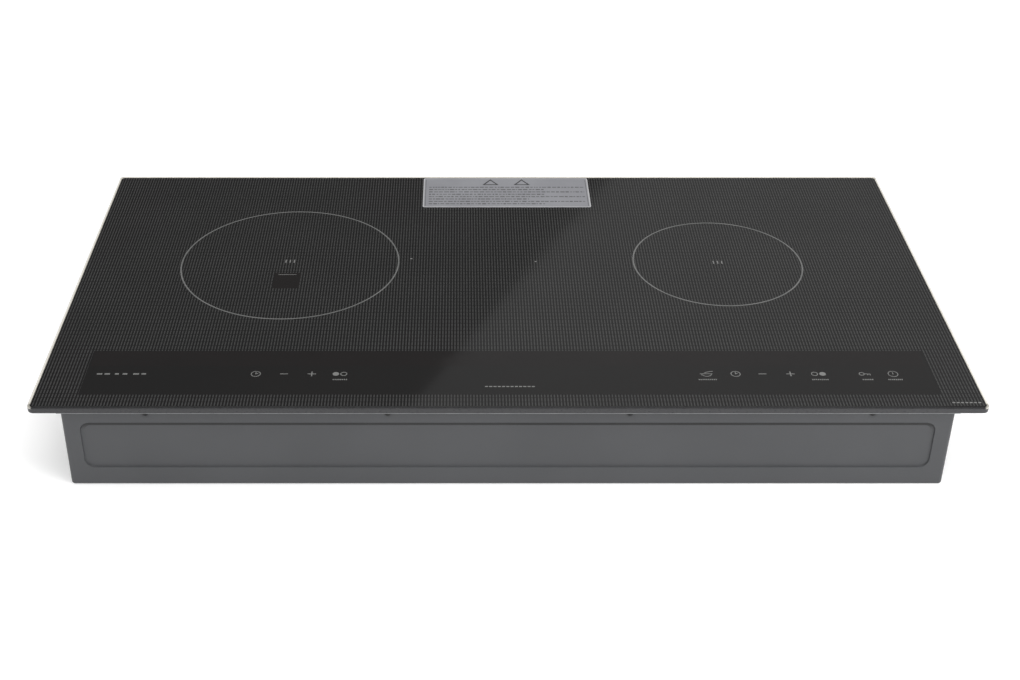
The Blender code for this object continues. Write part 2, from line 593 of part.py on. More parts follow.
def make_power_board(side, x):
    """Make one zone's inverter board and the large parts that stand on it."""
    half_x, half_y = BOARD_SIZE[0] / 2, BOARD_SIZE[1] / 2
    low, seat, y = BOARD_TOP - BOARD_THICKNESS, BOARD_TOP + GAP, BOARD_Y

    def part(name, near, far, height, finish):
        """Make one box-shaped part that stands on the board, between two corners in plan."""
        return box(f"{side}_{name}", (*near, seat), (*far, seat + height), finish)

    board = box(
        f"{side}_power_board", (x - half_x, y - half_y, low), (x + half_x, y + half_y, BOARD_TOP),
        BOARD_GREEN,
    )
    foot = SHEET + GAP
    post = (6 * MM, 6 * MM, low - foot + 0.5 * MM)
    spread_x, spread_y = half_x - 6 * MM, half_y - 6 * MM
    posts = [(post, (x + sx * spread_x, y + sy * spread_y, 0)) for sx in (-1, 1) for sy in (-1, 1)]
    join(board, blocks(f"{side}_standoffs", posts, centre=(0, 0, foot + post[2] / 2)))
    centre_x, sink_half = x - 50 * MM, 42 * MM
    near, far = (centre_x - sink_half, y - 55 * MM), (centre_x + sink_half, y + 55 * MM)
    sink = part("heatsink", near, far, 34 * MM, ALUMINIUM)
    slot, middle = (5 * MM, 120 * MM, 30 * MM), seat + 21 * MM
    slots = [(slot, (centre_x + (i - 4) * 8.5 * MM, y, middle)) for i in range(9)]
    cut(sink, blocks(f"{side}_fin_slots", slots))
    edge = centre_x + sink_half + GAP
    near, far = (edge, y - 40 * MM), (edge + 5 * MM, y - 24 * MM)
    part("power_transistor", near, far, 21 * MM, BLACK_PLASTIC)
    near, far = (edge, y + 6 * MM), (edge + 6 * MM, y + 36 * MM)
    part("bridge_rectifier", near, far, 20 * MM, BLACK_PLASTIC)
    near, far = (x + 20 * MM, y - 62 * MM), (x + 62 * MM, y - 42 * MM)
    bevel(part("resonant_capacitor", near, far, 32 * MM, YELLOW_FILM), 1.5 * MM, segments=1)
    at = (x + 72 * MM, y + 34 * MM)
    ring(f"{side}_filter_choke", 21 * MM, 8 * MM, seat, seat + 17 * MM, at, COPPER, steps=28)


def make_controls():
    """Make the touch board under the control strip, its carrier and the two displays."""
    half, front, rear = 352 * MM, -196 * MM, STRIP_REAR - 3 * MM
    floor, top = GLASS_BOTTOM - 9.7 * MM, GLASS_BOTTOM - 0.8 * MM
    carrier = box("touch_carrier", (-half, front, floor), (half, rear, top), BLACK_PLASTIC)
    wall = 2 * MM
    near, far = (-half + wall, front + wall, floor + wall), (half - wall, rear - wall, top + 5 * MM)
    cut(carrier, box("carrier_pocket", near, far))
    low = floor + wall + GAP
    inset = wall + 1 * MM
    near = (-half + inset, front + inset, low)
    far = (half - inset, rear - inset, low + BOARD_THICKNESS)
    board = box("touch_board", near, far, BOARD_GREEN)
    for i, x in enumerate(KEY_X):
        key = rod(f"key_spring_{i}", 4 * MM, low + BOARD_THICKNESS / 2, top, (x * MM, KEY_Y), sides=10)
        join(board, key)
    for side, x in (("left", -190 * MM), ("right", 235 * MM)):
        seat = low + BOARD_THICKNESS + GAP
        near, far = (x - 30 * MM, -149 * MM, seat), (x + 30 * MM, -131.5 * MM, top)
        box(f"{side}_display", near, far, RED_LENS)


def make_wiring():
    """Make the ribbon cable from the controls, the mains terminal block and the cable gland."""
    route = [
        Vector((0, -180 * MM, 68.5 * MM)),
        Vector((0, -160 * MM, 62 * MM)),
        Vector((0, -125 * MM, 48 * MM)),
        Vector((0, -100 * MM, 26 * MM)),
        Vector((0, -84 * MM, 14 * MM)),
        Vector((0, -74 * MM, BOARD_TOP + 1.2 * MM)),
    ]
    curve = bpy.data.curves.new("ribbon_cable", "CURVE")
    curve.dimensions, curve.extrude = "3D", 10 * MM
    spline = curve.splines.new("POLY")
    points = smooth_route(route, steps=3)
    spline.points.add(len(points) - 1)
    for point, place in zip(spline.points, points):
        point.co = (place.y, place.z, 0, 1)
    ribbon = add("ribbon_cable", curve, WIRE_SLEEVE)
    upright = Matrix(((0, 0, 1), (1, 0, 0), (0, 1, 0))).to_4x4()
    ribbon.matrix_world = Matrix.Translation((-142 * MM, 0, 0)) @ upright
    bpy.context.view_layer.update()
    ribbon = as_mesh(ribbon)
    thicken = ribbon.modifiers.new("thickness", "SOLIDIFY")
    thicken.thickness, thicken.offset = 0.9 * MM, 0
    block = box(
        "terminal_block", (GLAND_X - 25 * MM, CASING_REAR - 58 * MM, SHEET + GAP),
        (GLAND_X + 25 * MM, CASING_REAR - 36 * MM, 24 * MM), WHITE_RUBBER,
    )
    for i in (-1, 0, 1):
        at = (GLAND_X + i * 15 * MM, CASING_REAR - 47 * MM)
        cut(block, rod(f"terminal_well_{i}", 3 * MM, 14 * MM, 40 * MM, at, sides=12))
    flange, at = 13 * MM, (GLAND_X, GLAND_Z)
    outside, inside = CASING_REAR + GAP, CASING_REAR - SHEET - GAP
    gland = rod("cable_gland", flange, outside, outside + 4.7 * MM, at, BLACK_PLASTIC, 6, "Y")
    barrel = rod("gland_barrel", 8.6 * MM, inside - 12 * MM, outside + 8.7 * MM, at, axis="Y")
    nut = rod("gland_nut", flange, inside - 5 * MM, inside, at, sides=6, axis="Y")
    join(gland, barrel, nut)
    cut(gland, rod("gland_bore", 5 * MM, inside - 30 * MM, outside + 30 * MM, at, axis="Y"))


def make_label():
    """Make the thin film label on the glass near the rear edge."""
    left, right, front, rear = -78.5 * MM, 94 * MM, 145 * MM, 211 * MM
    low = GLASS_TOP + 0.05 * MM
    box("info_label", (left, front, low), (right, rear, low + 0.15 * MM), SILVER_FILM)


make_glass()
make_trims()
make_support_frame()
make_casing()
make_front_screws()
make_clamps()
for coil_side, coil_x, coil_outer, coil_inner in COILS:
    winding_level = make_coil(coil_side, coil_x, coil_outer, coil_inner)
    make_coil_lead(coil_side, coil_x, coil_outer, winding_level)
make_infrared_sensor(TRAY_BOTTOM + 3 * MM + GAP)
for fan_side, fan_x in FANS:
    make_fan(fan_side, fan_x)
for board_side, board_x in BOARDS:
    make_power_board(board_side, board_x)
make_controls()
make_wiring()
make_label()
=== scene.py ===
"""Looks for a two-zone built-in induction cooktop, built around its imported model.

Units are metres and +Z is up. X runs across the front, and the controls face -Y.
"""

import json
import logging
import math
import random
from dataclasses import dataclass
from enum import Enum
from typing import Iterable, Mapping, Sequence

import bmesh
import bpy
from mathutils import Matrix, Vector

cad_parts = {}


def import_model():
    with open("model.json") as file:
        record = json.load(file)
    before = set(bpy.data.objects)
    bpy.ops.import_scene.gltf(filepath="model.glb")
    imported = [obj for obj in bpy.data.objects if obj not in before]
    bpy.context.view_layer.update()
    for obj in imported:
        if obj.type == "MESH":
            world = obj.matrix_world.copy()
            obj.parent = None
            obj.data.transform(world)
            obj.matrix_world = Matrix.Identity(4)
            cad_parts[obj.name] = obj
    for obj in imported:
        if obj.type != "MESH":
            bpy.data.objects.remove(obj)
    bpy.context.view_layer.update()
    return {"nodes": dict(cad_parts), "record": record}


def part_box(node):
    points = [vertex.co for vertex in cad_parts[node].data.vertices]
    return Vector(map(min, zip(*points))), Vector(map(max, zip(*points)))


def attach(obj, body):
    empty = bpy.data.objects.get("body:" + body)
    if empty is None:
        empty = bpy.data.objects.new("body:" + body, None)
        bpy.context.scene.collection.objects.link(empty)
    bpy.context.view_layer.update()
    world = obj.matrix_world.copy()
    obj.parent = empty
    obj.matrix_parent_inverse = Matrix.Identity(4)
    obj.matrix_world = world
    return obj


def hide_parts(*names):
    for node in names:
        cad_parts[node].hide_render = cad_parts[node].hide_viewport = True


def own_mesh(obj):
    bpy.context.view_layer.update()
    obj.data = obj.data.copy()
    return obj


MM = 0.001
SHARP_ANGLE = 35.0
LOG = logging.getLogger("cooktop")

Colour = tuple[float, float, float]
Flat = tuple[float, float]
Point = tuple[float, float, float]


class Body(Enum):
    """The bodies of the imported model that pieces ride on."""

    CHASSIS = "chassis"
    LEFT_FAN = "left_fan_rotor"
    RIGHT_FAN = "right_fan_rotor"
    LEFT_CLAMP = "left_clamp"
    RIGHT_CLAMP = "right_clamp"


class Side(Enum):
    """The two halves of the cooktop, with the sign of X on each."""

    LEFT = -1
    RIGHT = 1

    @property
    def label(self) -> str:
        """Return the word that node names start with."""
        return self.name.lower()


class Axis(Enum):
    """The direction that an outline is extruded or turned along."""

    X = "x"
    Y = "y"
    Z = "z"

    def place(self, across: float, up: float, along: float) -> Vector:
        """Return the point that lies at (across, up) on the outline and at along on this axis."""
        if self is Axis.X:
            return Vector((along, across, up))
        if self is Axis.Y:
            return Vector((across, along, up))
        return Vector((across, up, along))


# ---------------------------------------------------------------------------------------------
# Node trees
# ---------------------------------------------------------------------------------------------


class Signal:
    """One output socket, with arithmetic that adds Math nodes to its tree."""

    def __init__(self, bench: "Bench", socket: bpy.types.NodeSocket) -> None:
        """Wrap an output socket of the bench's tree."""
        self.bench = bench
        self.socket = socket

    def _math(self, operation: str, *values: "Signal | float") -> "Signal":
        """Add one Math node and return its result."""
        settings = {"operation": operation}
        return self.bench.add("ShaderNodeMath", settings, dict(enumerate(values))).out()

    def __add__(self, other: "Signal | float") -> "Signal":
        """Return self + other."""
        return self._math("ADD", self, other)

    def __radd__(self, other: float) -> "Signal":
        """Return other + self."""
        return self._math("ADD", other, self)

    def __sub__(self, other: "Signal | float") -> "Signal":
        """Return self - other."""
        return self._math("SUBTRACT", self, other)

    def __rsub__(self, other: float) -> "Signal":
        """Return other - self."""
        return self._math("SUBTRACT", other, self)

    def __mul__(self, other: "Signal | float") -> "Signal":
        """Return self * other."""
        return self._math("MULTIPLY", self, other)

    def __rmul__(self, other: float) -> "Signal":
        """Return other * self."""
        return self._math("MULTIPLY", other, self)

    def __truediv__(self, other: "Signal | float") -> "Signal":
        """Return self / other."""
        return self._math("DIVIDE", self, other)

    def __gt__(self, other: "Signal | float") -> "Signal":
        """Return 1 where self is greater than other, and 0 elsewhere."""
        return self._math("GREATER_THAN", self, other)

    def __lt__(self, other: "Signal | float") -> "Signal":
        """Return 1 where self is less than other, and 0 elsewhere."""
        return self._math("LESS_THAN", self, other)

    def __abs__(self) -> "Signal":
        """Return the size of self without its sign."""
        return self._math("ABSOLUTE", self)

    def above(self, floor: float) -> "Signal":
        """Return self, or floor where self is less."""
        return self._math("MAXIMUM", self, floor)

    def root(self) -> "Signal":
        """Return the square root of self."""
        return self._math("SQRT", self)

    def between(self, low: float, high: float) -> "Signal":
        """Return self eased from 0 at low to 1 at high."""
        settings = {"interpolation_type": "SMOOTHSTEP"}
        inputs = {"Value": self, "From Min": low, "From Max": high}
        return self.bench.add("ShaderNodeMapRange", settings, inputs).out()


class Fitting:
    """One node of a tree, which hands out its outputs as signals."""

    def __init__(self, bench: "Bench", node: bpy.types.Node) -> None:
        """Wrap a node of the bench's tree."""
        self.bench = bench
        self.node = node

    def out(self, name: str | int = 0) -> Signal:
        """Return one output, by its name or its place."""
        return Signal(self.bench, self.node.outputs[name])


class Bench:
    """A node tree under construction."""

    def __init__(self, tree: bpy.types.NodeTree) -> None:
        """Start on an existing tree."""
        self.tree = tree

    def add(
        self,
        kind: str,
        settings: Mapping[str, object] | None = None,
        inputs: Mapping[str | int, object] | None = None,
    ) -> Fitting:
        """Add a node.

        Args:
            kind: The node's type name.
            settings: Its properties, which are set first.
            inputs: A value, or a signal to link, for each socket that isn't left alone.

        Returns:
            The new node.
        """
        node = self.tree.nodes.new(kind)
        for key, value in (settings or {}).items():
            setattr(node, key, value)
        for key, value in (inputs or {}).items():
            self.feed(node.inputs[key], value)
        return Fitting(self, node)

    def axes(self, where: Signal) -> Fitting:
        """Return a node whose X, Y and Z outputs are the parts of a vector."""
        return self.add("ShaderNodeSeparateXYZ", inputs={"Vector": where})

    def feed(self, socket: bpy.types.NodeSocket, value: object) -> None:
        """Link a signal to an input socket, or set the socket's own value."""
        if isinstance(value, Signal):
            self.tree.links.new(value.socket, socket)
        elif socket.type == "RGBA":
            socket.default_value = (*value, 1)
        else:
            socket.default_value = value


class ShaderBench(Bench):
    """A material under construction, around one Principled shader."""

    def __init__(self, name: str) -> None:
        """Make the material with its shader and its output."""
        self.material = bpy.data.materials.new(name)
        self.material.use_nodes = True
        super().__init__(self.material.node_tree)
        self.tree.nodes.clear()
        self.shader = self.add("ShaderNodeBsdfPrincipled").node
        shaded = Signal(self, self.shader.outputs["BSDF"])
        self.add("ShaderNodeOutputMaterial", inputs={"Surface": shaded})

    def set(self, socket: str, value: object) -> None:
        """Set or link one socket of the shader."""
        self.feed(self.shader.inputs[socket], value)

    def place(self, stretch: Point = (1, 1, 1), turn: Point = (0, 0, 0)) -> Signal:
        """Return object coordinates, stretched along each axis and turned."""
        where = self.add("ShaderNodeTexCoord").out("Object")
        inputs = {"Vector": where, "Scale": stretch, "Rotation": turn}
        return self.add("ShaderNodeMapping", inputs=inputs).out()

    def noise(self, where: Signal, scale: float, detail: float = 2.0) -> Signal:
        """Return fractal noise from about 0.3 to 0.7, with scale patches to the metre."""
        inputs = {"Vector": where, "Scale": scale, "Detail": detail}
        return self.add("ShaderNodeTexNoise", inputs=inputs).out()

    def cells(self, where: Signal, scale: float, output: str = "Distance") -> Signal:
        """Return a cell pattern, with scale cells to the metre."""
        inputs = {"Vector": where, "Scale": scale}
        return self.add("ShaderNodeTexVoronoi", inputs=inputs).out(output)

    def bands(self, where: Signal, scale: float, direction: str) -> Signal:
        """Return soft parallel bands across one direction."""
        settings = {"wave_type": "BANDS", "bands_direction": direction}
        inputs = {"Vector": where, "Scale": scale}
        return self.add("ShaderNodeTexWave", settings, inputs).out("Fac")

    def blend(self, share: Signal, first: object, second: object) -> Signal:
        """Return the colour that goes from first to second as share goes from 0 to 1."""
        mixer = self.add("ShaderNodeMix", {"data_type": "RGBA"})
        for place, value in ((0, share), (6, first), (7, second)):
            self.feed(mixer.node.inputs[place], value)
        return mixer.out(2)

    def relief(self, height: Signal, depth: float) -> Signal:
        """Return the normals of a surface whose height varies by depth."""
        inputs = {"Height": height, "Distance": depth, "Strength": 1.0}
        return self.add("ShaderNodeBump", inputs=inputs).out()


# ---------------------------------------------------------------------------------------------
# Finishes
# ---------------------------------------------------------------------------------------------


@dataclass(frozen=True)
class Finish:
    """A surface finish: two close colours in soft patches, with a fine grain in its relief.

    Attributes:
        slot: The record's material slot.
        colour: Main colour, linear.
        drift: Colour that the patches drift towards.
        rough: Lowest and highest roughness.
        metallic: Share of metal.
        patch: Colour patches to the metre.
        grain: Grains to the metre.
        relief: Height of the grain.
        stretch: How much closer the grain lies along each axis.
        coat: Weight of a clear coat.
        name: Name of the material, when one slot has several.
    """

    slot: str
    colour: Colour
    drift: Colour
    rough: Flat = (0.45, 0.55)
    metallic: float = 0.0
    patch: float = 20.0
    grain: float = 900.0
    relief: float = 0.01 * MM
    stretch: Point = (1, 1, 1)
    coat: float = 0.0
    name: str = ""

    def material(self) -> bpy.types.Material:
        """Return the finish's material, made at its first use."""
        name = self.name or self.slot
        known = bpy.data.materials.get(f"looks_{name}")
        if known:
            return known
        bench = ShaderBench(f"looks_{name}")
        tone, grain = self.pattern(bench)
        low, high = self.rough
        bench.set("Base Color", bench.blend(tone, self.colour, self.drift))
        bench.set("Roughness", low + (high - low) * grain.between(0.25, 0.75))
        bench.set("Metallic", self.metallic)
        bench.set("Coat Weight", self.coat)
        if self.relief:
            bench.set("Normal", bench.relief(grain, self.relief))
        return bench.material

    def pattern(self, bench: ShaderBench) -> tuple[Signal, Signal]:
        """Return the tone, from 0 to 1, and the grain's height."""
        tone = bench.noise(bench.place(), self.patch, 3).between(0.3, 0.7)
        return tone, bench.noise(bench.place(self.stretch), self.grain)


@dataclass(frozen=True)
class CellFinish(Finish):
    """A finish whose grain is made of cells, as in foam, zinc spangle or pressed flakes."""

    def pattern(self, bench: ShaderBench) -> tuple[Signal, Signal]:
        """Return patches of whole cells, and the cells' height."""
        where = bench.place(self.stretch)
        spread = bench.noise(where, self.patch * 2)
        tone = bench.cells(where, self.patch) * 0.6 + spread * 0.5
        return tone.between(0.1, 0.9), bench.cells(where, self.grain)


@dataclass(frozen=True)
class WovenFinish(Finish):
    """A braided or stranded finish: two sets of slanting strands that cross."""

    def pattern(self, bench: ShaderBench) -> tuple[Signal, Signal]:
        """Return the strands' shade and height."""
        first = bench.bands(bench.place(turn=(0.6, 0.5, 0.8)), self.grain, "X")
        second = bench.bands(bench.place(turn=(-0.6, -0.5, 0.8)), self.grain, "Y")
        height = first * 0.5 + second * 0.5
        return 1 - height, height


@dataclass(frozen=True)
class PressedPaint(Finish):
    """Powder paint with a painted shadow: a dark line along the top of the sunk front panel, where
    the panel's step shades it.

    Attributes:
        half: Half the panel's width and half its height.
        level: Height of the panel's middle.
        corner: Radius of the panel's corners.
        line: Width of the painted shadow line.
        front: The panel lies in front of this Y.
        strength: How much of the dark colour the line takes.
    """

    half: Flat = (360 * MM, 23.4 * MM)
    level: float = 41.2 * MM
    corner: float = 9.0 * MM
    line: float = 3.6 * MM
    front: float = -0.2
    strength: float = 0.85

    def pattern(self, bench: ShaderBench) -> tuple[Signal, Signal]:
        """Return soft patches with the painted shadow line over them, and the grain's height."""
        patches, grain = super().pattern(bench)
        axes = bench.axes(bench.place())
        across = (abs(axes.out("X")) - (self.half[0] - self.corner)).above(0)
        level = axes.out("Z") - self.level
        up = (abs(level) - (self.half[1] - self.corner)).above(0)
        inside = self.corner - (across * across + up * up).root()
        # Painted shadow: the band under the panel's top step is darkened in the colour, standing in
        # for the shade that the step casts.
        rim = (inside > -0.1 * MM) * (inside < self.line) * (axes.out("Y") < self.front)
        rim = rim * level.between(self.half[1] - self.corner, self.half[1] - 0.2 * self.corner)
        return patches * (1 - self.strength) + rim * self.strength, grain


@dataclass(frozen=True)
class ReturnFinish(Finish):
    """A dark trim with a painted highlight: its top edge is coloured light metal where it turns a
    corner.

    Attributes:
        bare: Distance from the middle at which the painted highlight starts.
        top: Height above which the highlight is painted.
        fade: Width over which the painted highlight fades in.
    """

    bare: float = 395.2 * MM
    top: float = 82.7 * MM
    fade: float = 2.0 * MM

    def pattern(self, bench: ShaderBench) -> tuple[Signal, Signal]:
        """Return the painted highlight at the corners, and the grain's height."""
        _, grain = super().pattern(bench)
        axes = bench.axes(bench.place())
        # Painted highlight: a light metal colour along the top edge where the trim turns the
        # corners.
        across = abs(axes.out("X")).between(self.bare, self.bare + self.fade)
        return across * axes.out("Z").between(self.top, self.top + 0.4 * MM), grain


@dataclass(frozen=True)
class BoardFinish(Finish):
    """Solder mask over copper tracks that run in straight bundles.

    Attributes:
        bundles: Bundles to the metre.
        tracks: Tracks to the metre.
    """

    bundles: float = 55.0
    tracks: float = 190.0

    def pattern(self, bench: ShaderBench) -> tuple[Signal, Signal]:
        """Return the tracks' shade and height."""
        where = bench.place()
        bundles = bench.cells(where, self.bundles, "Position")
        along = bench.bands(where, self.tracks, "X")
        across = bench.bands(where, self.tracks, "Y")
        pick = bench.noise(bundles, 90) > 0.5
        tracks = along * pick + across * (1 - pick)
        return tracks.between(0.45, 0.6), tracks.between(0.45, 0.6)


@dataclass(frozen=True)
class GlassFinish(Finish):
    """Polished glass, or enamel fired on it: smooth, with the faintest change in gloss."""

    relief: float = 0.0


GLASS = GlassFinish("black_glass", (0.0118, 0.0118, 0.0120), (0.0128, 0.0127, 0.0127),
                    (0.05, 0.09), patch=6, grain=9)
ENAMEL = GlassFinish("black_glass", (0.043, 0.043, 0.0425), (0.048, 0.048, 0.0475),
                     (0.07, 0.12), patch=14, grain=60, name="dash_enamel")
ZONE_ENAMEL = GlassFinish("black_glass", (0.125, 0.128, 0.125), (0.15, 0.15, 0.147),
                          (0.1, 0.16), patch=40, grain=200, name="zone_enamel")
SYMBOL_ENAMEL = GlassFinish("black_glass", (0.15, 0.15, 0.147), (0.18, 0.18, 0.176),
                            (0.1, 0.16), patch=60, grain=200, name="symbol_enamel")
STRIP_ENAMEL = GlassFinish("black_glass", (0.0138, 0.0135, 0.0135), (0.0148, 0.0143, 0.0142),
                           (0.05, 0.09), patch=9, grain=12, name="strip_enamel")
WINDOW_ENAMEL = GlassFinish("black_glass", (0.0148, 0.0137, 0.0137), (0.0158, 0.0144, 0.0143),
                            (0.05, 0.09), patch=30, grain=40, name="window_enamel")
CHAMPAGNE = Finish("champagne_aluminium", (0.84, 0.81, 0.74), (0.77, 0.74, 0.67), (0.22, 0.32),
                   0.2, 30, 260, 0.002 * MM, (9, 1, 9), coat=0.3)
# Painted shade: a darker copy of the champagne finish, used for the rear trim.
CHAMPAGNE_SHADED_REAR = Finish("champagne_aluminium", (0.74, 0.71, 0.64), (0.67, 0.64, 0.57),
                        (0.22, 0.32), 0.3, 30, 260, 0.002 * MM, (1, 9, 9), 0.3, "champagne_rear")
# The dark front trim; its light drift colour is a painted highlight along the top edge at the two
# corners.
DARK_TRIM = ReturnFinish("dark_trim", (0.038, 0.038, 0.040), (0.62, 0.6, 0.54),
                         (0.27, 0.29), 0.5, 24, 260, 0.0004 * MM, (1, 9, 9), coat=0.12)
SILICONE = Finish("black_silicone", (0.02, 0.02, 0.02), (0.03, 0.03, 0.03), (0.5, 0.65), 0.0,
                  40, 500, 0.03 * MM)
FOAM = CellFinish("seal_foam", (0.035, 0.035, 0.038), (0.06, 0.06, 0.064), (0.85, 0.98), 0.0,
                  120, 1300, 0.15 * MM)
ZINC = CellFinish("zinc_steel", (0.19, 0.195, 0.20), (0.26, 0.265, 0.27), (0.3, 0.45), 0.8,
                  140, 60, 0.002 * MM)
# The casing paint; its near-black drift colour gives the faint patches and the painted shadow along
# the panel's top.
PAINT = PressedPaint("grey_paint", (0.0545, 0.0562, 0.0602), (0.003, 0.003, 0.0035), (0.42, 0.56),
                     0.0, 7, 1500, 0.012 * MM)
BLACKED = Finish("blackened_steel", (0.012, 0.012, 0.0125), (0.022, 0.021, 0.02), (0.35, 0.5), 0.4,
                 220, 900, 0.008 * MM)
FILM = Finish("silver_film", (0.285, 0.287, 0.308), (0.315, 0.318, 0.34), (0.36, 0.44), 0.25,
              30, 1800, 0.003 * MM)
FILM_EDGE = Finish("silver_film", (0.52, 0.52, 0.53), (0.6, 0.6, 0.61), (0.3, 0.4), 0.3,
                   30, 1800, 0.003 * MM, name="film_edge")
FILM_INK = Finish("silver_film", (0.08, 0.08, 0.084), (0.12, 0.12, 0.125), (0.45, 0.55), 0.0,
                  400, 900, 0.0, name="film_ink")
FILM_MARK = Finish("silver_film", (0.022, 0.022, 0.023), (0.035, 0.035, 0.036), (0.45, 0.55), 0.0,
                   60, 900, 0.0, name="film_mark")
COPPER = WovenFinish("enamelled_copper", (0.52, 0.2, 0.075), (0.26, 0.09, 0.035), (0.25, 0.4),
                     0.85, 50, 300, 0.12 * MM)
PLASTIC = Finish("black_plastic", (0.026, 0.026, 0.027), (0.034, 0.034, 0.035), (0.45, 0.6), 0.0,
                 30, 1400, 0.02 * MM)
FERRITE = Finish("ferrite", (0.05, 0.051, 0.055), (0.08, 0.08, 0.083), (0.5, 0.75), 0.1,
                 400, 2500, 0.02 * MM)
MICA = CellFinish("mica", (0.6, 0.54, 0.42), (0.44, 0.38, 0.28), (0.35, 0.65), 0.0, 260, 420,
                  0.02 * MM)
ALUMINIUM = Finish("aluminium", (0.72, 0.72, 0.73), (0.62, 0.62, 0.63), (0.28, 0.42), 0.85,
                   24, 300, 0.004 * MM, (8, 1, 8))
SPRING = Finish("spring_steel", (0.5, 0.5, 0.5), (0.6, 0.6, 0.6), (0.2, 0.32), 0.9, 300, 900,
                0.004 * MM)
WHITE_RUBBER = Finish("white_silicone", (0.72, 0.72, 0.7), (0.64, 0.64, 0.61), (0.5, 0.65), 0.0,
                      60, 900, 0.02 * MM)
BOARD = BoardFinish("circuit_board", (0.012, 0.1, 0.035), (0.03, 0.2, 0.06), (0.3, 0.4), 0.0,
                    relief=0.03 * MM, coat=0.3)
YELLOW = Finish("capacitor_yellow", (0.72, 0.5, 0.05), (0.62, 0.42, 0.04), (0.3, 0.42), 0.0, 50,
                600, 0.015 * MM, coat=0.2)
LENS = Finish("display_red", (0.16, 0.012, 0.012), (0.1, 0.008, 0.008), (0.15, 0.25), 0.0, 90,
              500, 0.004 * MM, coat=0.5)
SLEEVE = WovenFinish("wire_sleeve", (0.68, 0.66, 0.58), (0.42, 0.4, 0.34), (0.6, 0.8), 0.0, 40,
                     420, 0.1 * MM)

BY_SLOT: dict[str, Finish] = {
    finish.slot: finish
    for finish in (
        GLASS, CHAMPAGNE, DARK_TRIM, SILICONE, FOAM, ZINC, PAINT, BLACKED, FILM, COPPER, PLASTIC,
        FERRITE, MICA, ALUMINIUM, SPRING, WHITE_RUBBER, BOARD, YELLOW, LENS, SLEEVE,
    )
}


# ---------------------------------------------------------------------------------------------
# Meshes
# ---------------------------------------------------------------------------------------------


def link(name: str, data: bpy.types.ID) -> bpy.types.Object:
    """Return a new object in the scene that holds the data."""
    made = bpy.data.objects.new(name, data)
    bpy.context.scene.collection.objects.link(made)
    return made


def keep(bm: bmesh.types.BMesh, name: str) -> bpy.types.Object:
    """Return a working mesh as a new object, and free it."""
    mesh = bpy.data.meshes.new(name)
    bm.to_mesh(mesh)
    bm.free()
    return link(name, mesh)


def middle_of(node: str) -> Vector:
    """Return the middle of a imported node."""
    return sum(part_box(node), Vector()) / 2


def rounded(
    half_x: float, low_y: float, high_y: float, radius: float, steps: int = 6
) -> list[Flat]:
    """Return a rounded rectangle's outline, symmetric about X = 0.

    Args:
        half_x: Half its width.
        low_y: Its front edge.
        high_y: Its rear edge.
        radius: Radius of all four corners.
        steps: Straight stretches in each corner.

    Returns:
        The outline, anticlockwise.
    """
    corners = (
        (half_x - radius, high_y - radius, 0), (-half_x + radius, high_y - radius, 90),
        (-half_x + radius, low_y + radius, 180), (half_x - radius, low_y + radius, 270),
    )
    turns = [(x, y, math.radians(start + 90 * i / steps)) for x, y, start in corners
             for i in range(steps + 1)]
    return [(x + radius * math.cos(a), y + radius * math.sin(a)) for x, y, a in turns]


def circle(x: float, y: float, radius: float, steps: int = 24) -> list[Flat]:
    """Return a circle's outline, anticlockwise."""
    angles = (2 * math.pi * i / steps for i in range(steps))
    return [(x + radius * math.cos(a), y + radius * math.sin(a)) for a in angles]


def arc(x: float, y: float, radius: float, start: float, end: float, steps: int) -> list[Flat]:
    """Return points along an arc from start to end, in degrees."""
    angles = (math.radians(start + (end - start) * i / steps) for i in range(steps + 1))
    return [(x + radius * math.cos(a), y + radius * math.sin(a)) for a in angles]


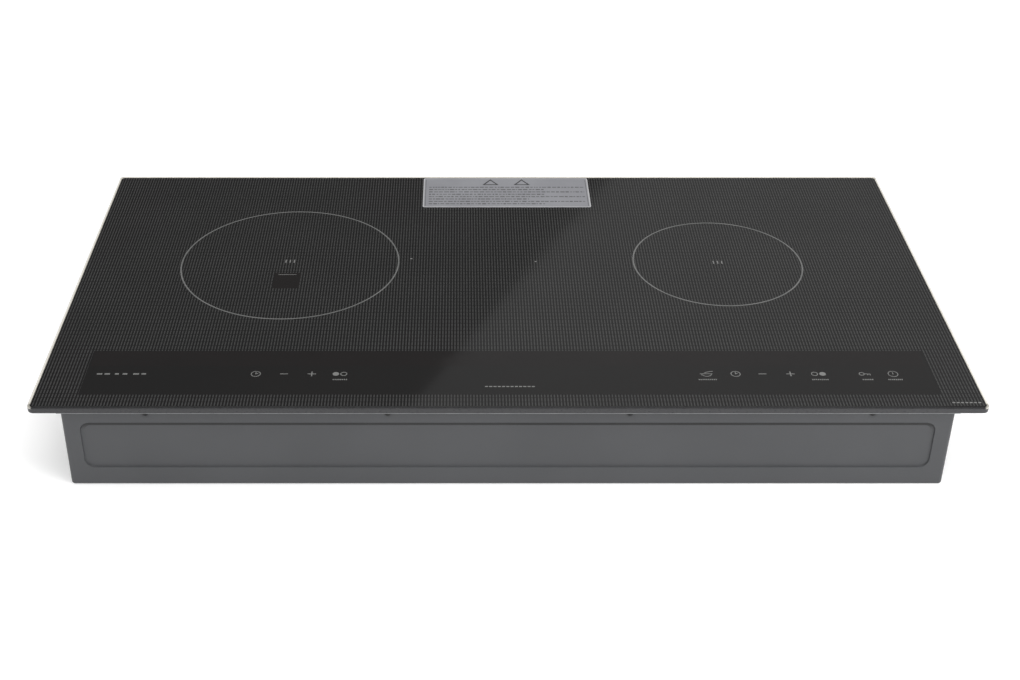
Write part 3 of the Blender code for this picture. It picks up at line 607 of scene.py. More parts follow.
class Stock:
    """Closed shells that are gathered into one mesh."""

    def __init__(self) -> None:
        """Start with nothing."""
        self.bm = bmesh.new()

    def loft(
        self, rings: Sequence[Sequence[Sequence[float]]], looped: bool = False, lid: bool = True
    ) -> None:
        """Skin a run of rings.

        Args:
            rings: Rings with equal counts, anticlockwise seen from the last one.
            looped: Whether the last ring joins the first, so that no end is capped.
            lid: Whether the last ring is capped.
        """
        rows = [[self.bm.verts.new(point) for point in ring] for ring in rings]
        following = [*rows[1:], rows[0]] if looped else rows[1:]
        for low, high in zip(rows, following):
            for i, corner in enumerate(low):
                j = (i + 1) % len(low)
                self.bm.faces.new((corner, low[j], high[j], high[i]))
        if not looped:
            self.bm.faces.new(rows[0][::-1])
            if lid:
                self.bm.faces.new(rows[-1])

    def prism(self, outline: Sequence[Flat], low: float, high: float, axis: Axis = Axis.Z) -> None:
        """Extrude an outline from low to high along an axis."""
        self.loft([[axis.place(x, y, level) for x, y in outline] for level in (low, high)])

    def box(self, low: Sequence[float], high: Sequence[float]) -> None:
        """Add a box between two corners."""
        outline = [(low[0], low[1]), (high[0], low[1]), (high[0], high[1]), (low[0], high[1])]
        self.prism(outline, low[2], high[2])

    def slab(
        self, low: Sequence[float], high: Sequence[float], corner: float, edge: float,
        steps: int = 4,
    ) -> None:
        """Add a box with upright corners and top and bottom edges rounded.

        Args:
            low: Lowest corner.
            high: Highest corner.
            corner: Radius of the four upright edges.
            edge: Radius of the top and bottom edges, under the corner radius.
            steps: Straight stretches in each rounding.
        """
        middle, half = (low[0] + high[0]) / 2, (high[0] - low[0]) / 2
        turns = [math.pi / 2 * i / steps for i in range(steps + 1)]
        inset_level = [(edge * (1 - math.sin(t)), low[2] + edge * (1 - math.cos(t))) for t in turns]
        inset_level += [(inset, high[2] + low[2] - z) for inset, z in reversed(inset_level)]
        rings = []
        for inset, z in inset_level:
            flat = rounded(half - inset, low[1] + inset, high[1] - inset, corner - inset, 6)
            rings.append([(middle + x, y, z) for x, y in flat])
        self.loft(rings)

    def turned(
        self, profile: Sequence[Flat], centre: Point, steps: int = 48, axis: Axis = Axis.Z,
        hollow: bool = False,
    ) -> None:
        """Turn a profile of (radius, height) points about an upright or level axis.

        Args:
            profile: From one end to the other, or all round the section when hollow.
            centre: Where radius and height are 0.
            steps: Straight stretches round the circle.
            axis: The axis of turning.
            hollow: Whether the profile is a closed section that stays clear of the axis.
        """
        angles = [2 * math.pi * i / steps for i in range(steps)]
        origin = Vector(centre)

        def point(radius: float, height: float, angle: float) -> Vector:
            """Return one point of the surface."""
            return origin + axis.place(radius * math.cos(angle), radius * math.sin(angle), height)

        if hollow:
            self.loft([[point(r, h, a) for r, h in profile] for a in angles], looped=True)
        else:
            self.loft([[point(r, h, a) for a in angles] for r, h in profile])

    def ribbon(
        self, path: Sequence[Flat], width: float, low: float, high: float, looped: bool = False
    ) -> None:
        """Run a flat band of one width along a path in plan, mitred at its corners."""
        count = len(path)
        rings = []
        for i, here in enumerate(map(Vector, path)):
            before = Vector(path[i - 1]) if i or looped else here
            after = Vector(path[(i + 1) % count]) if i < count - 1 or looped else here
            runs = [run.normalized() for run in (here - before, after - here) if run.length > 0]
            ahead = (runs[0] + runs[-1]).normalized()
            out = Vector((ahead.y, -ahead.x)) * width / 2 / max(0.4, ahead.dot(runs[0]))
            (ax, ay), (bx, by) = here - out, here + out
            rings.append([(ax, ay, low), (bx, by, low), (bx, by, high), (ax, ay, high)])
        self.loft(rings, looped)

    def wire(
        self, path: Sequence[Vector], radius: float, sides: int, looped: bool = False
    ) -> None:
        """Run a round wire along a path in space."""
        count, rings, lead = len(path), [], None
        for i, here in enumerate(path):
            before = path[i - 1] if i or looped else here
            after = path[(i + 1) % count] if i < count - 1 or looped else here
            ahead = (after - before).normalized()
            if lead is None:
                lead = ahead.orthogonal().normalized()
            lead = (lead - ahead * lead.dot(ahead)).normalized()
            other = ahead.cross(lead)
            angles = (2 * math.pi * k / sides for k in range(sides))
            rings.append([here + (lead * math.cos(a) + other * math.sin(a)) * radius
                          for a in angles])
        self.loft(rings, looped)

    def absorb(self, thing: bpy.types.Object) -> None:
        """Take in another object's mesh, and remove the object."""
        self.bm.from_mesh(thing.data)
        bpy.data.objects.remove(thing)

    def thing(self, name: str, smooth: float = SHARP_ANGLE) -> bpy.types.Object:
        """Return the shells as one object, with its edges over an angle kept sharp."""
        bmesh.ops.recalc_face_normals(self.bm, faces=self.bm.faces)
        return shade(keep(self.bm, name), smooth)


def evaluate(thing: bpy.types.Object) -> None:
    """Swap an object's mesh for what its modifiers make of it, and drop the modifiers."""
    evaluated = thing.evaluated_get(bpy.context.evaluated_depsgraph_get())
    made = bpy.data.meshes.new_from_object(evaluated)
    thing.modifiers.clear()
    thing.data = made


def shade(thing: bpy.types.Object, smooth: float) -> bpy.types.Object:
    """Shade an object smooth, but keep its wide faces flat and edges over an angle sharp."""
    mesh = thing.data
    known = mesh.attributes.get("custom_normal")
    if known:
        mesh.attributes.remove(known)
    mesh.shade_smooth()
    mesh.set_sharp_from_angle(angle=math.radians(smooth))
    step = thing.modifiers.new("normals", "WEIGHTED_NORMAL")
    step.keep_sharp, step.weight = True, 100
    evaluate(thing)
    return thing


def settle(thing: bpy.types.Object) -> bpy.types.Object:
    """Run an object's modifiers, clean and shade what they make, and return the object."""
    evaluate(thing)
    bm = bmesh.new()
    bm.from_mesh(thing.data)
    bmesh.ops.remove_doubles(bm, verts=bm.verts, dist=0.0005 * MM)
    bmesh.ops.recalc_face_normals(bm, faces=bm.faces)
    bm.to_mesh(thing.data)
    bm.free()
    return shade(thing, SHARP_ANGLE)


def bevel(thing: bpy.types.Object, width: float, segments: int, angle: float) -> bpy.types.Object:
    """Round an object's edges over an angle, settle it, and return it."""
    step = thing.modifiers.new("edges", "BEVEL")
    step.width, step.segments, step.limit_method = width, segments, "ANGLE"
    step.angle_limit = math.radians(angle)
    return settle(thing)


def carve(thing: bpy.types.Object, cutters: Iterable[Stock]) -> None:
    """Cut closed shapes out of an object."""
    tools = [cutter.thing("cutter") for cutter in cutters]
    for tool in tools:
        step = thing.modifiers.new("carve", "BOOLEAN")
        step.operation, step.solver, step.object = "DIFFERENCE", "EXACT", tool
    settle(thing)
    for tool in tools:
        bpy.data.objects.remove(tool)


def rounded_copy(node: bpy.types.Object, width: float, segments: int) -> bpy.types.Object:
    """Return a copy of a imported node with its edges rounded.

    Args:
        node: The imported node, which is left as it is.
        width: Width of the rounding.
        segments: Stretches in the rounding.

    Returns:
        A new object with its own mesh.
    """
    bm = bmesh.new()
    bm.from_mesh(node.data)
    bmesh.ops.remove_doubles(bm, verts=bm.verts, dist=0.001 * MM)
    bmesh.ops.dissolve_limit(bm, angle_limit=math.radians(1), verts=bm.verts, edges=bm.edges)
    return bevel(keep(bm, f"{node.name}_rounded"), width, segments, 40)


def fit(
    thing: bpy.types.Object, finish: Finish, body: Body = Body.CHASSIS,
    stands_for: Sequence[str] = (),
) -> bpy.types.Object:
    """Give a piece its finish and its body.

    Args:
        thing: The finished piece.
        finish: Its surface.
        body: The body that it moves with.
        stands_for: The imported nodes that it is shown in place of.

    Returns:
        The same object.
    """
    if not thing.data.materials:
        thing.data.materials.append(finish.material())
    else:
        thing.data.materials[0] = finish.material()
    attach(thing, body.value)
    if stands_for:
        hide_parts(*stands_for)
    LOG.info("%s: %d faces", thing.name, len(thing.data.polygons))
    return thing


# ---------------------------------------------------------------------------------------------
# Repeats, in Geometry Nodes
# ---------------------------------------------------------------------------------------------


class Repeat:
    """A Geometry Nodes tree with named inputs, whose result is kept as a plain mesh."""

    SOCKETS = {int: "NodeSocketInt", float: "NodeSocketFloat", tuple: "NodeSocketVector",
               bpy.types.Object: "NodeSocketObject"}

    def __init__(self, name: str, values: Mapping[str, object]) -> None:
        """Make the tree with one input for each value."""
        self.values = values
        self.bench = Bench(bpy.data.node_groups.new(name, "GeometryNodeTree"))
        face = self.bench.tree.interface
        face.new_socket(name="Geometry", in_out="OUTPUT", socket_type="NodeSocketGeometry")
        self.sockets = {
            key: face.new_socket(name=key, in_out="INPUT", socket_type=self.SOCKETS[type(value)])
            for key, value in values.items()
        }
        self.entry = self.bench.add("NodeGroupInput")

    def input(self, name: str) -> Signal:
        """Return one named input of the tree."""
        return self.entry.out(name)

    def master(self, name: str) -> Signal:
        """Return the geometry of the object that a named input holds."""
        inputs = {"Object": self.input(name)}
        return self.bench.add("GeometryNodeObjectInfo", inputs=inputs).out("Geometry")

    def line(self, start: str, step: object) -> Signal:
        """Return the tree's count of points, from a named start and a step apart."""
        inputs = {"Count": self.input("Count"), "Start Location": self.input(start), "Offset": step}
        return self.bench.add("GeometryNodeMeshLine", {"mode": "OFFSET"}, inputs).out()

    def copies(self, points: Signal, part: Signal, turn: Signal | Point = (0, 0, 0)) -> Signal:
        """Return the part set at every point, turned by angles about each axis."""
        inputs = {"Points": points, "Instance": part, "Rotation": turn}
        return self.bench.add("GeometryNodeInstanceOnPoints", inputs=inputs).out()

    def moved(self, geometry: Signal, offset: str) -> Signal:
        """Return geometry moved by a named input."""
        inputs = {"Geometry": geometry, "Offset": self.input(offset)}
        return self.bench.add("GeometryNodeSetPosition", inputs=inputs).out()

    def grow(self, name: str, geometry: Signal, finish: Finish) -> bpy.types.Object:
        """End the tree, run it, and return its result.

        Args:
            name: Name of the new object.
            geometry: What the tree has made so far.
            finish: The surface that the tree sets.

        Returns:
            An object with a plain mesh and no modifier.
        """
        bench = self.bench
        real = bench.add("GeometryNodeRealizeInstances", inputs={"Geometry": geometry}).out()
        inputs = {"Geometry": real, "Material": finish.material()}
        dressed = bench.add("GeometryNodeSetMaterial", inputs=inputs).out()
        bench.add("NodeGroupOutput", inputs={"Geometry": dressed})
        carrier = link(name, bpy.data.meshes.new(name))
        modifier = carrier.modifiers.new("repeat", "NODES")
        modifier.node_group = bench.tree
        for key, value in self.values.items():
            modifier[self.sockets[key].identifier] = value
        bpy.context.view_layer.update()
        settle(carrier)
        for value in self.values.values():
            if isinstance(value, bpy.types.Object):
                bpy.data.objects.remove(value)
        return carrier


def row_of(name: str, master: bpy.types.Object, count: int, start: Point, step: Point,
           finish: Finish) -> bpy.types.Object:
    """Repeat an object along a straight line.

    Args:
        name: Name of the new piece.
        master: The object to repeat, which is used up.
        count: How many to make.
        start: Where the first one's origin goes.
        step: From each one to the next.
        finish: Their surface.

    Returns:
        The row as one object.
    """
    values = {"Part": master, "Count": count, "Start": start, "Step": step}
    repeat = Repeat(f"{name}_row", values)
    line = repeat.line("Start", repeat.input("Step"))
    return repeat.grow(name, repeat.copies(line, repeat.master("Part")), finish)


def ring_of(name: str, master: bpy.types.Object, count: int, centre: Point, finish: Finish,
            axis: Axis = Axis.Z) -> bpy.types.Object:
    """Repeat an object round an axis.

    Args:
        name: Name of the new piece.
        master: The object to repeat, modelled about the origin, which is used up.
        count: How many to make.
        centre: A point on the axis.
        finish: Their surface.
        axis: The direction of the axis.

    Returns:
        The ring as one object.
    """
    repeat = Repeat(f"{name}_ring", {"Part": master, "Count": count, "Centre": centre})
    line = repeat.line("Centre", (0, 0, 0))
    turn = repeat.bench.add("GeometryNodeInputIndex").out() * 2 * math.pi / repeat.input("Count")
    angles = repeat.bench.add("ShaderNodeCombineXYZ", inputs={axis.name: turn}).out()
    return repeat.grow(name, repeat.copies(line, repeat.master("Part"), angles), finish)


def coil_of(name: str, turns: float, radii: Flat, rise: float, wire: float, centre: Point,
            finish: Finish, sides: int) -> bpy.types.Object:
    """Wind a round wire into a flat spiral or an upright helix.

    Args:
        name: Name of the new piece.
        turns: How many turns it has.
        radii: Radius of its first and last turn.
        rise: Height from its start to its end.
        wire: Radius of the wire.
        centre: The foot of its axis.
        finish: The wire's surface.
        sides: Flats round the wire.

    Returns:
        The winding as one object.
    """
    values = {"Turns": float(turns), "Start Radius": radii[0], "End Radius": radii[1],
              "Rise": rise, "Wire": wire, "Sides": sides, "Centre": centre}
    repeat = Repeat(f"{name}_coil", values)
    bench = repeat.bench
    inputs = {"Resolution": 40, "Rotations": repeat.input("Turns"),
              "Start Radius": repeat.input("Start Radius"),
              "End Radius": repeat.input("End Radius"), "Height": repeat.input("Rise")}
    spiral = bench.add("GeometryNodeCurveSpiral", inputs=inputs).out()
    inputs = {"Resolution": repeat.input("Sides"), "Radius": repeat.input("Wire")}
    section = bench.add("GeometryNodeCurvePrimitiveCircle", inputs=inputs).out()
    inputs = {"Curve": spiral, "Profile Curve": section, "Fill Caps": True}
    wound = bench.add("GeometryNodeCurveToMesh", inputs=inputs).out()
    return repeat.grow(name, repeat.moved(wound, "Centre"), finish)


# ---------------------------------------------------------------------------------------------
# The glass and what is printed on it
# ---------------------------------------------------------------------------------------------


@dataclass(frozen=True)
class Patch:
    """A rectangle on the glass, given by its middle and its half sizes."""

    x: float
    y: float
    half_x: float
    half_y: float

    def box(self, stock: Stock, low: float, high: float) -> None:
        """Add the rectangle to a stock as a thin plate."""
        stock.box((self.x - self.half_x, self.y - self.half_y, low),
                  (self.x + self.half_x, self.y + self.half_y, high))


CONTROL_STRIP = Patch(1.5 * MM, -160.5 * MM, 362.2 * MM, 34 * MM)
DISPLAY_STRIP = Patch(1.2 * MM, -139 * MM, 360 * MM, 11.5 * MM)
SENSOR_WINDOW = Patch(-203.4 * MM, -4 * MM, 12.5 * MM, 14.4 * MM)
INFO_PATCH = Patch(7.75 * MM, 178 * MM, 86.5 * MM, 33.2 * MM)


@dataclass
class Glass:
    """The black ceramic glass plate."""

    corner: float = 3.0 * MM
    edge: float = 0.5 * MM

    def build(self) -> None:
        """Make the plate with its ground and polished edge."""
        low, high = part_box("glass_top")
        stock = Stock()
        stock.slab(low, high, self.corner, self.edge)
        fit(stock.thing("ceramic_glass"), GLASS, stands_for=["glass_top"])


@dataclass
class DashPrint:
    """The field of small upright dashes that covers the glass round the plain areas."""

    pitch: Flat = (2.7 * MM, 6.235 * MM)
    dash: Flat = (1.15 * MM, 5.4 * MM)
    rearward: float = 0.6 * MM
    columns: int = 147
    rows: int = 68
    proud: float = 0.03 * MM
    clear: tuple[Patch, ...] = (CONTROL_STRIP, SENSOR_WINDOW, INFO_PATCH)

    def build(self) -> None:
        """Print both halves."""
        for side in Side:
            self.half(side)

    def half(self, side: Side) -> None:
        """Print the dashes on one half of the glass."""
        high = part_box("glass_top")[1]
        across, along = self.pitch
        middle = (side.value * across * self.columns / 2, self.rearward, high.z)
        values = {"Columns": self.columns, "Rows": self.rows, "Pitch X": across, "Pitch Y": along,
                  "Dash": (*self.dash, 2 * self.proud), "Middle": middle}
        repeat = Repeat(f"{side.label}_dashes", values)
        bench = repeat.bench
        inputs = {"Vertices X": repeat.input("Columns"), "Vertices Y": repeat.input("Rows"),
                  "Size X": repeat.input("Pitch X") * (repeat.input("Columns") - 1),
                  "Size Y": repeat.input("Pitch Y") * (repeat.input("Rows") - 1)}
        grid = bench.add("GeometryNodeMeshGrid", inputs=inputs).out()
        spots = repeat.moved(grid, "Middle")
        axes = bench.axes(bench.add("GeometryNodeInputPosition").out())
        x, y = axes.out("X"), axes.out("Y")
        inside = sum(
            (abs(x - area.x) < area.half_x - self.dash[0] / 2)
            * (abs(y - area.y) < area.half_y - self.dash[1] / 2)
            for area in self.clear
        )
        inputs = {"Geometry": spots, "Selection": inside > 0.5}
        kept = bench.add("GeometryNodeDeleteGeometry", {"domain": "POINT"}, inputs).out()
        cube = bench.add("GeometryNodeMeshCube", inputs={"Size": repeat.input("Dash")}).out()
        placed = repeat.copies(kept, cube)
        fit(repeat.grow(f"{side.label}_dash_print", placed, ENAMEL), ENAMEL)


@dataclass
class ZoneMarks:
    """The ring round each cooking zone and the mark at its centre."""

    line: float = 1.4 * MM
    proud: float = 0.05 * MM
    zones: tuple[Point, ...] = (
        (-203.1 * MM, 31 * MM, 104 * MM), (207 * MM, 30.6 * MM, 80.5 * MM),
    )
    marks: tuple[Flat, ...] = ((-203.5 * MM, 33 * MM), (207.3 * MM, 31 * MM))
    stroke: Flat = (0.6 * MM, 2.8 * MM)
    spread: float = 4 * MM
    spots: tuple[Flat, ...] = ((-87.2 * MM, 38.2 * MM), (32.6 * MM, 32.5 * MM))

    def build(self) -> None:
        """Print the rings, the centre marks and two register spots."""
        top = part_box("glass_top")[1].z
        low, high = top - self.proud, top + self.proud
        rings = Stock()
        for x, y, radius in self.zones:
            rings.ribbon(circle(x, y, radius, 160), self.line, low, high, looped=True)
        fit(rings.thing("zone_rings"), ZONE_ENAMEL)
        marks = Stock()
        for x, y in self.marks:
            for step in (-1, 0, 1):
                Patch(x + step * self.spread, y, *self.stroke).box(marks, low, high)
        for x, y in self.spots:
            marks.prism(circle(x, y, 1.1 * MM, 12), low, high)
        fit(marks.thing("zone_centre_marks"), SYMBOL_ENAMEL)


@dataclass
class ControlStrip:
    """The plain touch strip with its symbols, and the window of the pan sensor."""

    proud: float = 0.05 * MM
    row: float = -163 * MM
    caption_row: float = -171.7
    captioned: tuple[Flat, ...] = ((-142.4, 6.5), (171, 7.8), (267, 7.0), (307.5, 4.8), (331, 6.6))
    words: tuple[Flat, ...] = (
        (-348.8, 4.6), (-342.2, 4.6), (-334, 3.4), (-327, 4), (-317.5, 5), (-311, 4),
    )

    def build(self) -> None:
        """Print the plain areas and the symbols on them."""
        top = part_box("glass_top")[1].z
        strip = Stock()
        CONTROL_STRIP.box(strip, top - self.proud, top + self.proud)
        fit(strip.thing("control_strip_print"), STRIP_ENAMEL)
        windows = Stock()
        DISPLAY_STRIP.box(windows, top - self.proud, top + 1.2 * self.proud)
        SENSOR_WINDOW.box(windows, top - self.proud, top + 1.2 * self.proud)
        fit(windows.thing("display_window_print"), WINDOW_ENAMEL)
        self.low, self.high = top + self.proud / 2, top + 1.7 * self.proud
        self.stock = Stock()
        self.left_keys()
        self.right_keys()
        self.captions()
        fit(self.stock.thing("touch_symbols"), SYMBOL_ENAMEL)

    def stroke(self, path: Sequence[Flat], looped: bool = False, line: float = 0.75 * MM) -> None:
        """Draw one line of a symbol."""
        self.stock.ribbon(path, line, self.low, self.high, looped)

    def bars(self, x: float, y: float, count: int, pitch: float, half: Flat) -> None:
        """Draw a row of plain bars, in millimetres, about its middle."""
        for i in range(count):
            across = x + pitch * (i - (count - 1) / 2)
            bar = Patch(across * MM, y * MM, half[0] * MM, half[1] * MM)
            bar.box(self.stock, self.low, self.high)

    def clock(self, x: float) -> None:
        """Draw a timer symbol."""
        self.stroke(circle(x, self.row, 3.9 * MM, 28), looped=True)
        hands = [(x, self.row + 2.6 * MM), (x, self.row), (x + 1.9 * MM, self.row + 1.0 * MM)]
        self.stroke(hands)

    def minus(self, x: float) -> None:
        """Draw a minus sign."""
        self.stroke([(x - 3.4 * MM, self.row), (x + 3.4 * MM, self.row)], line=1.0 * MM)

    def plus(self, x: float) -> None:
        """Draw a plus sign."""
        reach, half = 3.6 * MM, 0.5 * MM
        cross = [(reach, half), (half, half), (half, reach), (-half, reach), (-half, half),
                 (-reach, half), (-reach, -half), (-half, -half), (-half, -reach),
                 (half, -reach), (half, -half), (reach, -half)]
        outline = [(x + dx, self.row + dy) for dx, dy in cross]
        self.stock.prism(outline, self.low, self.high)

    def lamps(self, full: float, empty: float) -> None:
        """Draw a filled and an empty circle side by side."""
        self.stock.prism(circle(full, self.row, 2.8 * MM), self.low, self.high)
        self.stroke(circle(empty, self.row, 2.6 * MM), looped=True)

    def left_keys(self) -> None:
        """Draw the symbols of the left zone's keys."""
        self.clock(-215 * MM)
        self.minus(-190.8 * MM)
        self.plus(-167 * MM)
        self.lamps(-146.4 * MM, -139.6 * MM)

    def right_keys(self) -> None:
        """Draw the symbols of the right zone's keys, the lock and the power key."""
        self.clock(196 * MM)
        self.minus(219 * MM)
        self.plus(243 * MM)
        self.lamps(270.5 * MM, 263.6 * MM)
        x, y = 171 * MM, self.row
        self.stroke(arc(x, y + 0.6 * MM, 4.4 * MM, 195, 345, 14))
        self.stroke([(x - 5.6 * MM, y + 0.2 * MM), (x + 5.2 * MM, y + 0.2 * MM)])
        self.stroke([(x - 1.6 * MM, y + 1.6 * MM), (x + 1.2 * MM, y + 3.0 * MM),
                     (x + 6.0 * MM, y + 4.2 * MM)])
        x = 304 * MM
        self.stroke(circle(x, y, 2.1 * MM, 20), looped=True)
        self.stroke([(x + 2.4 * MM, y), (x + 7.4 * MM, y)])
        self.stroke([(x + 5.0 * MM, y), (x + 5.0 * MM, y - 2.0 * MM)])
        self.stroke([(x + 7.0 * MM, y), (x + 7.0 * MM, y - 2.0 * MM)])
        x = 330.8 * MM
        self.stroke(circle(x, y, 4.1 * MM, 28), looped=True)
        self.stroke([(x, y + 2.5 * MM), (x, y - 0.6 * MM)])

    def captions(self) -> None:
        """Put rows of short plain strokes where the captions and small print go."""
        for x, half in self.captioned:
            self.bars(x, self.caption_row, round(half / 0.8), 1.6, (0.5, 0.85))
        for x, width in self.words:
            self.bars(x, self.row / MM, 1, 0, (width / 2, 1.1))
        self.bars(2.2, -182.3, 12, 3.6, (1.3, 0.75))
        self.bars(382.3, -206.2, 7, 3.6, (1.2, 0.8))
        self.bars(-203.8, 7.3, 1, 0, (8.5, 0.35))


@dataclass
class InfoLabel:
    """The silver film label at the rear edge, with a border, two triangles and plain bars."""

    border: float = 2.6 * MM
    edge: float = 0.7 * MM
    seed: int = 7
    rows: int = 8
    first_row: float = 190.0 * MM
    row_pitch: float = 5.35 * MM
    triangles: tuple[Flat, ...] = ((-8.3 * MM, 201 * MM), (24.5 * MM, 201 * MM))

    def build(self) -> None:
        """Make the film, its light edge and its print."""
        low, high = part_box("info_label")
        film = Stock()
        film.slab(low, high, 2.0 * MM, 0.02 * MM, 2)
        fit(film.thing("label_film"), FILM, stands_for=["info_label"])
        rim, top = Stock(), high.z + 0.01 * MM
        middle, half = (low.x + high.x) / 2, (high.x - low.x) / 2 - self.edge
        outline = rounded(half, low.y + self.edge, high.y - self.edge, 1.6 * MM)
        path = [(middle + x, y) for x, y in outline]
        rim.ribbon(path, 1.2 * MM, high.z - 0.03 * MM, top, looped=True)
        fit(rim.thing("label_edge"), FILM_EDGE)
        self.print_on(low, high, top)

    def print_on(self, low: Vector, high: Vector, top: float) -> None:
        """Print the border lines, the triangles and the rows of bars."""
        ink, under = Stock(), high.z - 0.03 * MM
        for x in (low.x + self.border, high.x - self.border):
            ink.box((x - 0.3 * MM, low.y + 3 * MM, under), (x + 0.3 * MM, high.y - 4 * MM, top))
        marks = Stock()
        for x, y in self.triangles:
            points = [(x - 7.2 * MM, y - 5.0 * MM), (x + 7.2 * MM, y - 5.0 * MM), (x, y + 6.0 * MM)]
            marks.ribbon(points, 1.5 * MM, under, top, looped=True)
        fit(marks.thing("label_triangles"), FILM_MARK)
        chance = random.Random(self.seed)
        for row in range(self.rows):
            y = self.first_row - row * self.row_pitch
            x, end = low.x + 6 * MM, high.x - (5 + 42 * (row in (1, 3, 7)) + 58 * (row == 5)) * MM
            while x < end:
                width = min(chance.uniform(1.4, 5.0) * MM, end - x)
                tall = chance.uniform(0.7, 1.2) * MM
                ink.box((x, y - tall, under), (x + width, y + tall, top))
                x += width + chance.uniform(0.7, 1.6) * MM
        fit(ink.thing("label_print"), FILM_INK)


# ---------------------------------------------------------------------------------------------
# Trims, casing and fastenings
# ---------------------------------------------------------------------------------------------


@dataclass
class Trims:
    """The metal edge trims round the glass."""

    round_over: float = 0.85 * MM
    pocket_gap: float = 0.3 * MM
    glass_corner: float = 3.3 * MM
    wall: float = 2.0 * MM
    lip: float = 0.35 * MM

    def build(self) -> None:
        """Make all four trims."""
        self.across("front_trim", 5.5 * MM, DARK_TRIM)
        # The rear trim takes the darker copy of the champagne finish, a painted shade.
        self.across("rear_trim", 4.0 * MM, CHAMPAGNE_SHADED_REAR)
        for side in Side:
            self.upright(side)

    def pocket(self) -> Stock:
        """Return the space that the glass sits in."""
        low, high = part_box("glass_top")
        gap = self.pocket_gap
        outline = rounded(high.x + gap, low.y - gap, high.y + gap, self.glass_corner, 8)
        stock = Stock()
        stock.prism(outline, low.z - gap, high.z + 5 * MM)
        return stock

    def across(self, node: str, corner: float, finish: Finish) -> None:
        """Make the front or the rear trim, which turns round the two corners of the glass."""
        low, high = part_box(node)
        front = node == "front_trim"
        steps = 12
        far = rounded(high.x, low.y, high.y + 30 * MM, corner, steps) if front else rounded(
            high.x, low.y - 30 * MM, high.y, corner, steps)
        edge = high.y if front else low.y
        outline = [(x, min(y, edge) if front else max(y, edge)) for x, y in far]
        kept = [p for i, p in enumerate(outline) if p != outline[i - 1]
                and not (p[1] == edge and abs(p[0]) < high.x - 0.01 * MM)]
        stock = Stock()
        stock.prism(kept, low.z, high.z)
        trim = stock.thing(f"{node}_bar")
        carve(trim, [self.pocket()])
        fit(bevel(trim, self.round_over, 4, 50), finish, stands_for=[node])

    def upright(self, side: Side) -> None:
        """Make one side trim: an angle with a rounded top edge, under and beside the glass."""
        node = f"{side.label}_trim"
        low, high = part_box(node)
        outer, inner = (low.x, high.x) if side is Side.LEFT else (high.x, low.x)
        inward = -side.value
        wall = outer + inward * self.wall
        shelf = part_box("glass_top")[0].z - self.pocket_gap

        def round_off(x: float, way: int, radius: float, steps: int) -> list[Flat]:
            """Return an edge's rounding, from the upright face at x up to the top."""
            turns = (math.pi / 2 * i / steps for i in range(steps + 1))
            return [(x + way * radius * (1 - math.cos(t)), high.z - radius * (1 - math.sin(t)))
                    for t in turns]

        nose = round_off(outer, inward, self.round_over, 6)
        lip = round_off(wall, -inward, self.lip, 3)[::-1]
        section = [(outer, low.z), *nose, *lip, (wall, shelf), (inner, shelf), (inner, low.z)]
        stock = Stock()
        stock.prism(section, low.y, high.y, Axis.Y)
        fit(stock.thing(f"{node}_angle"), CHAMPAGNE, stands_for=[node])


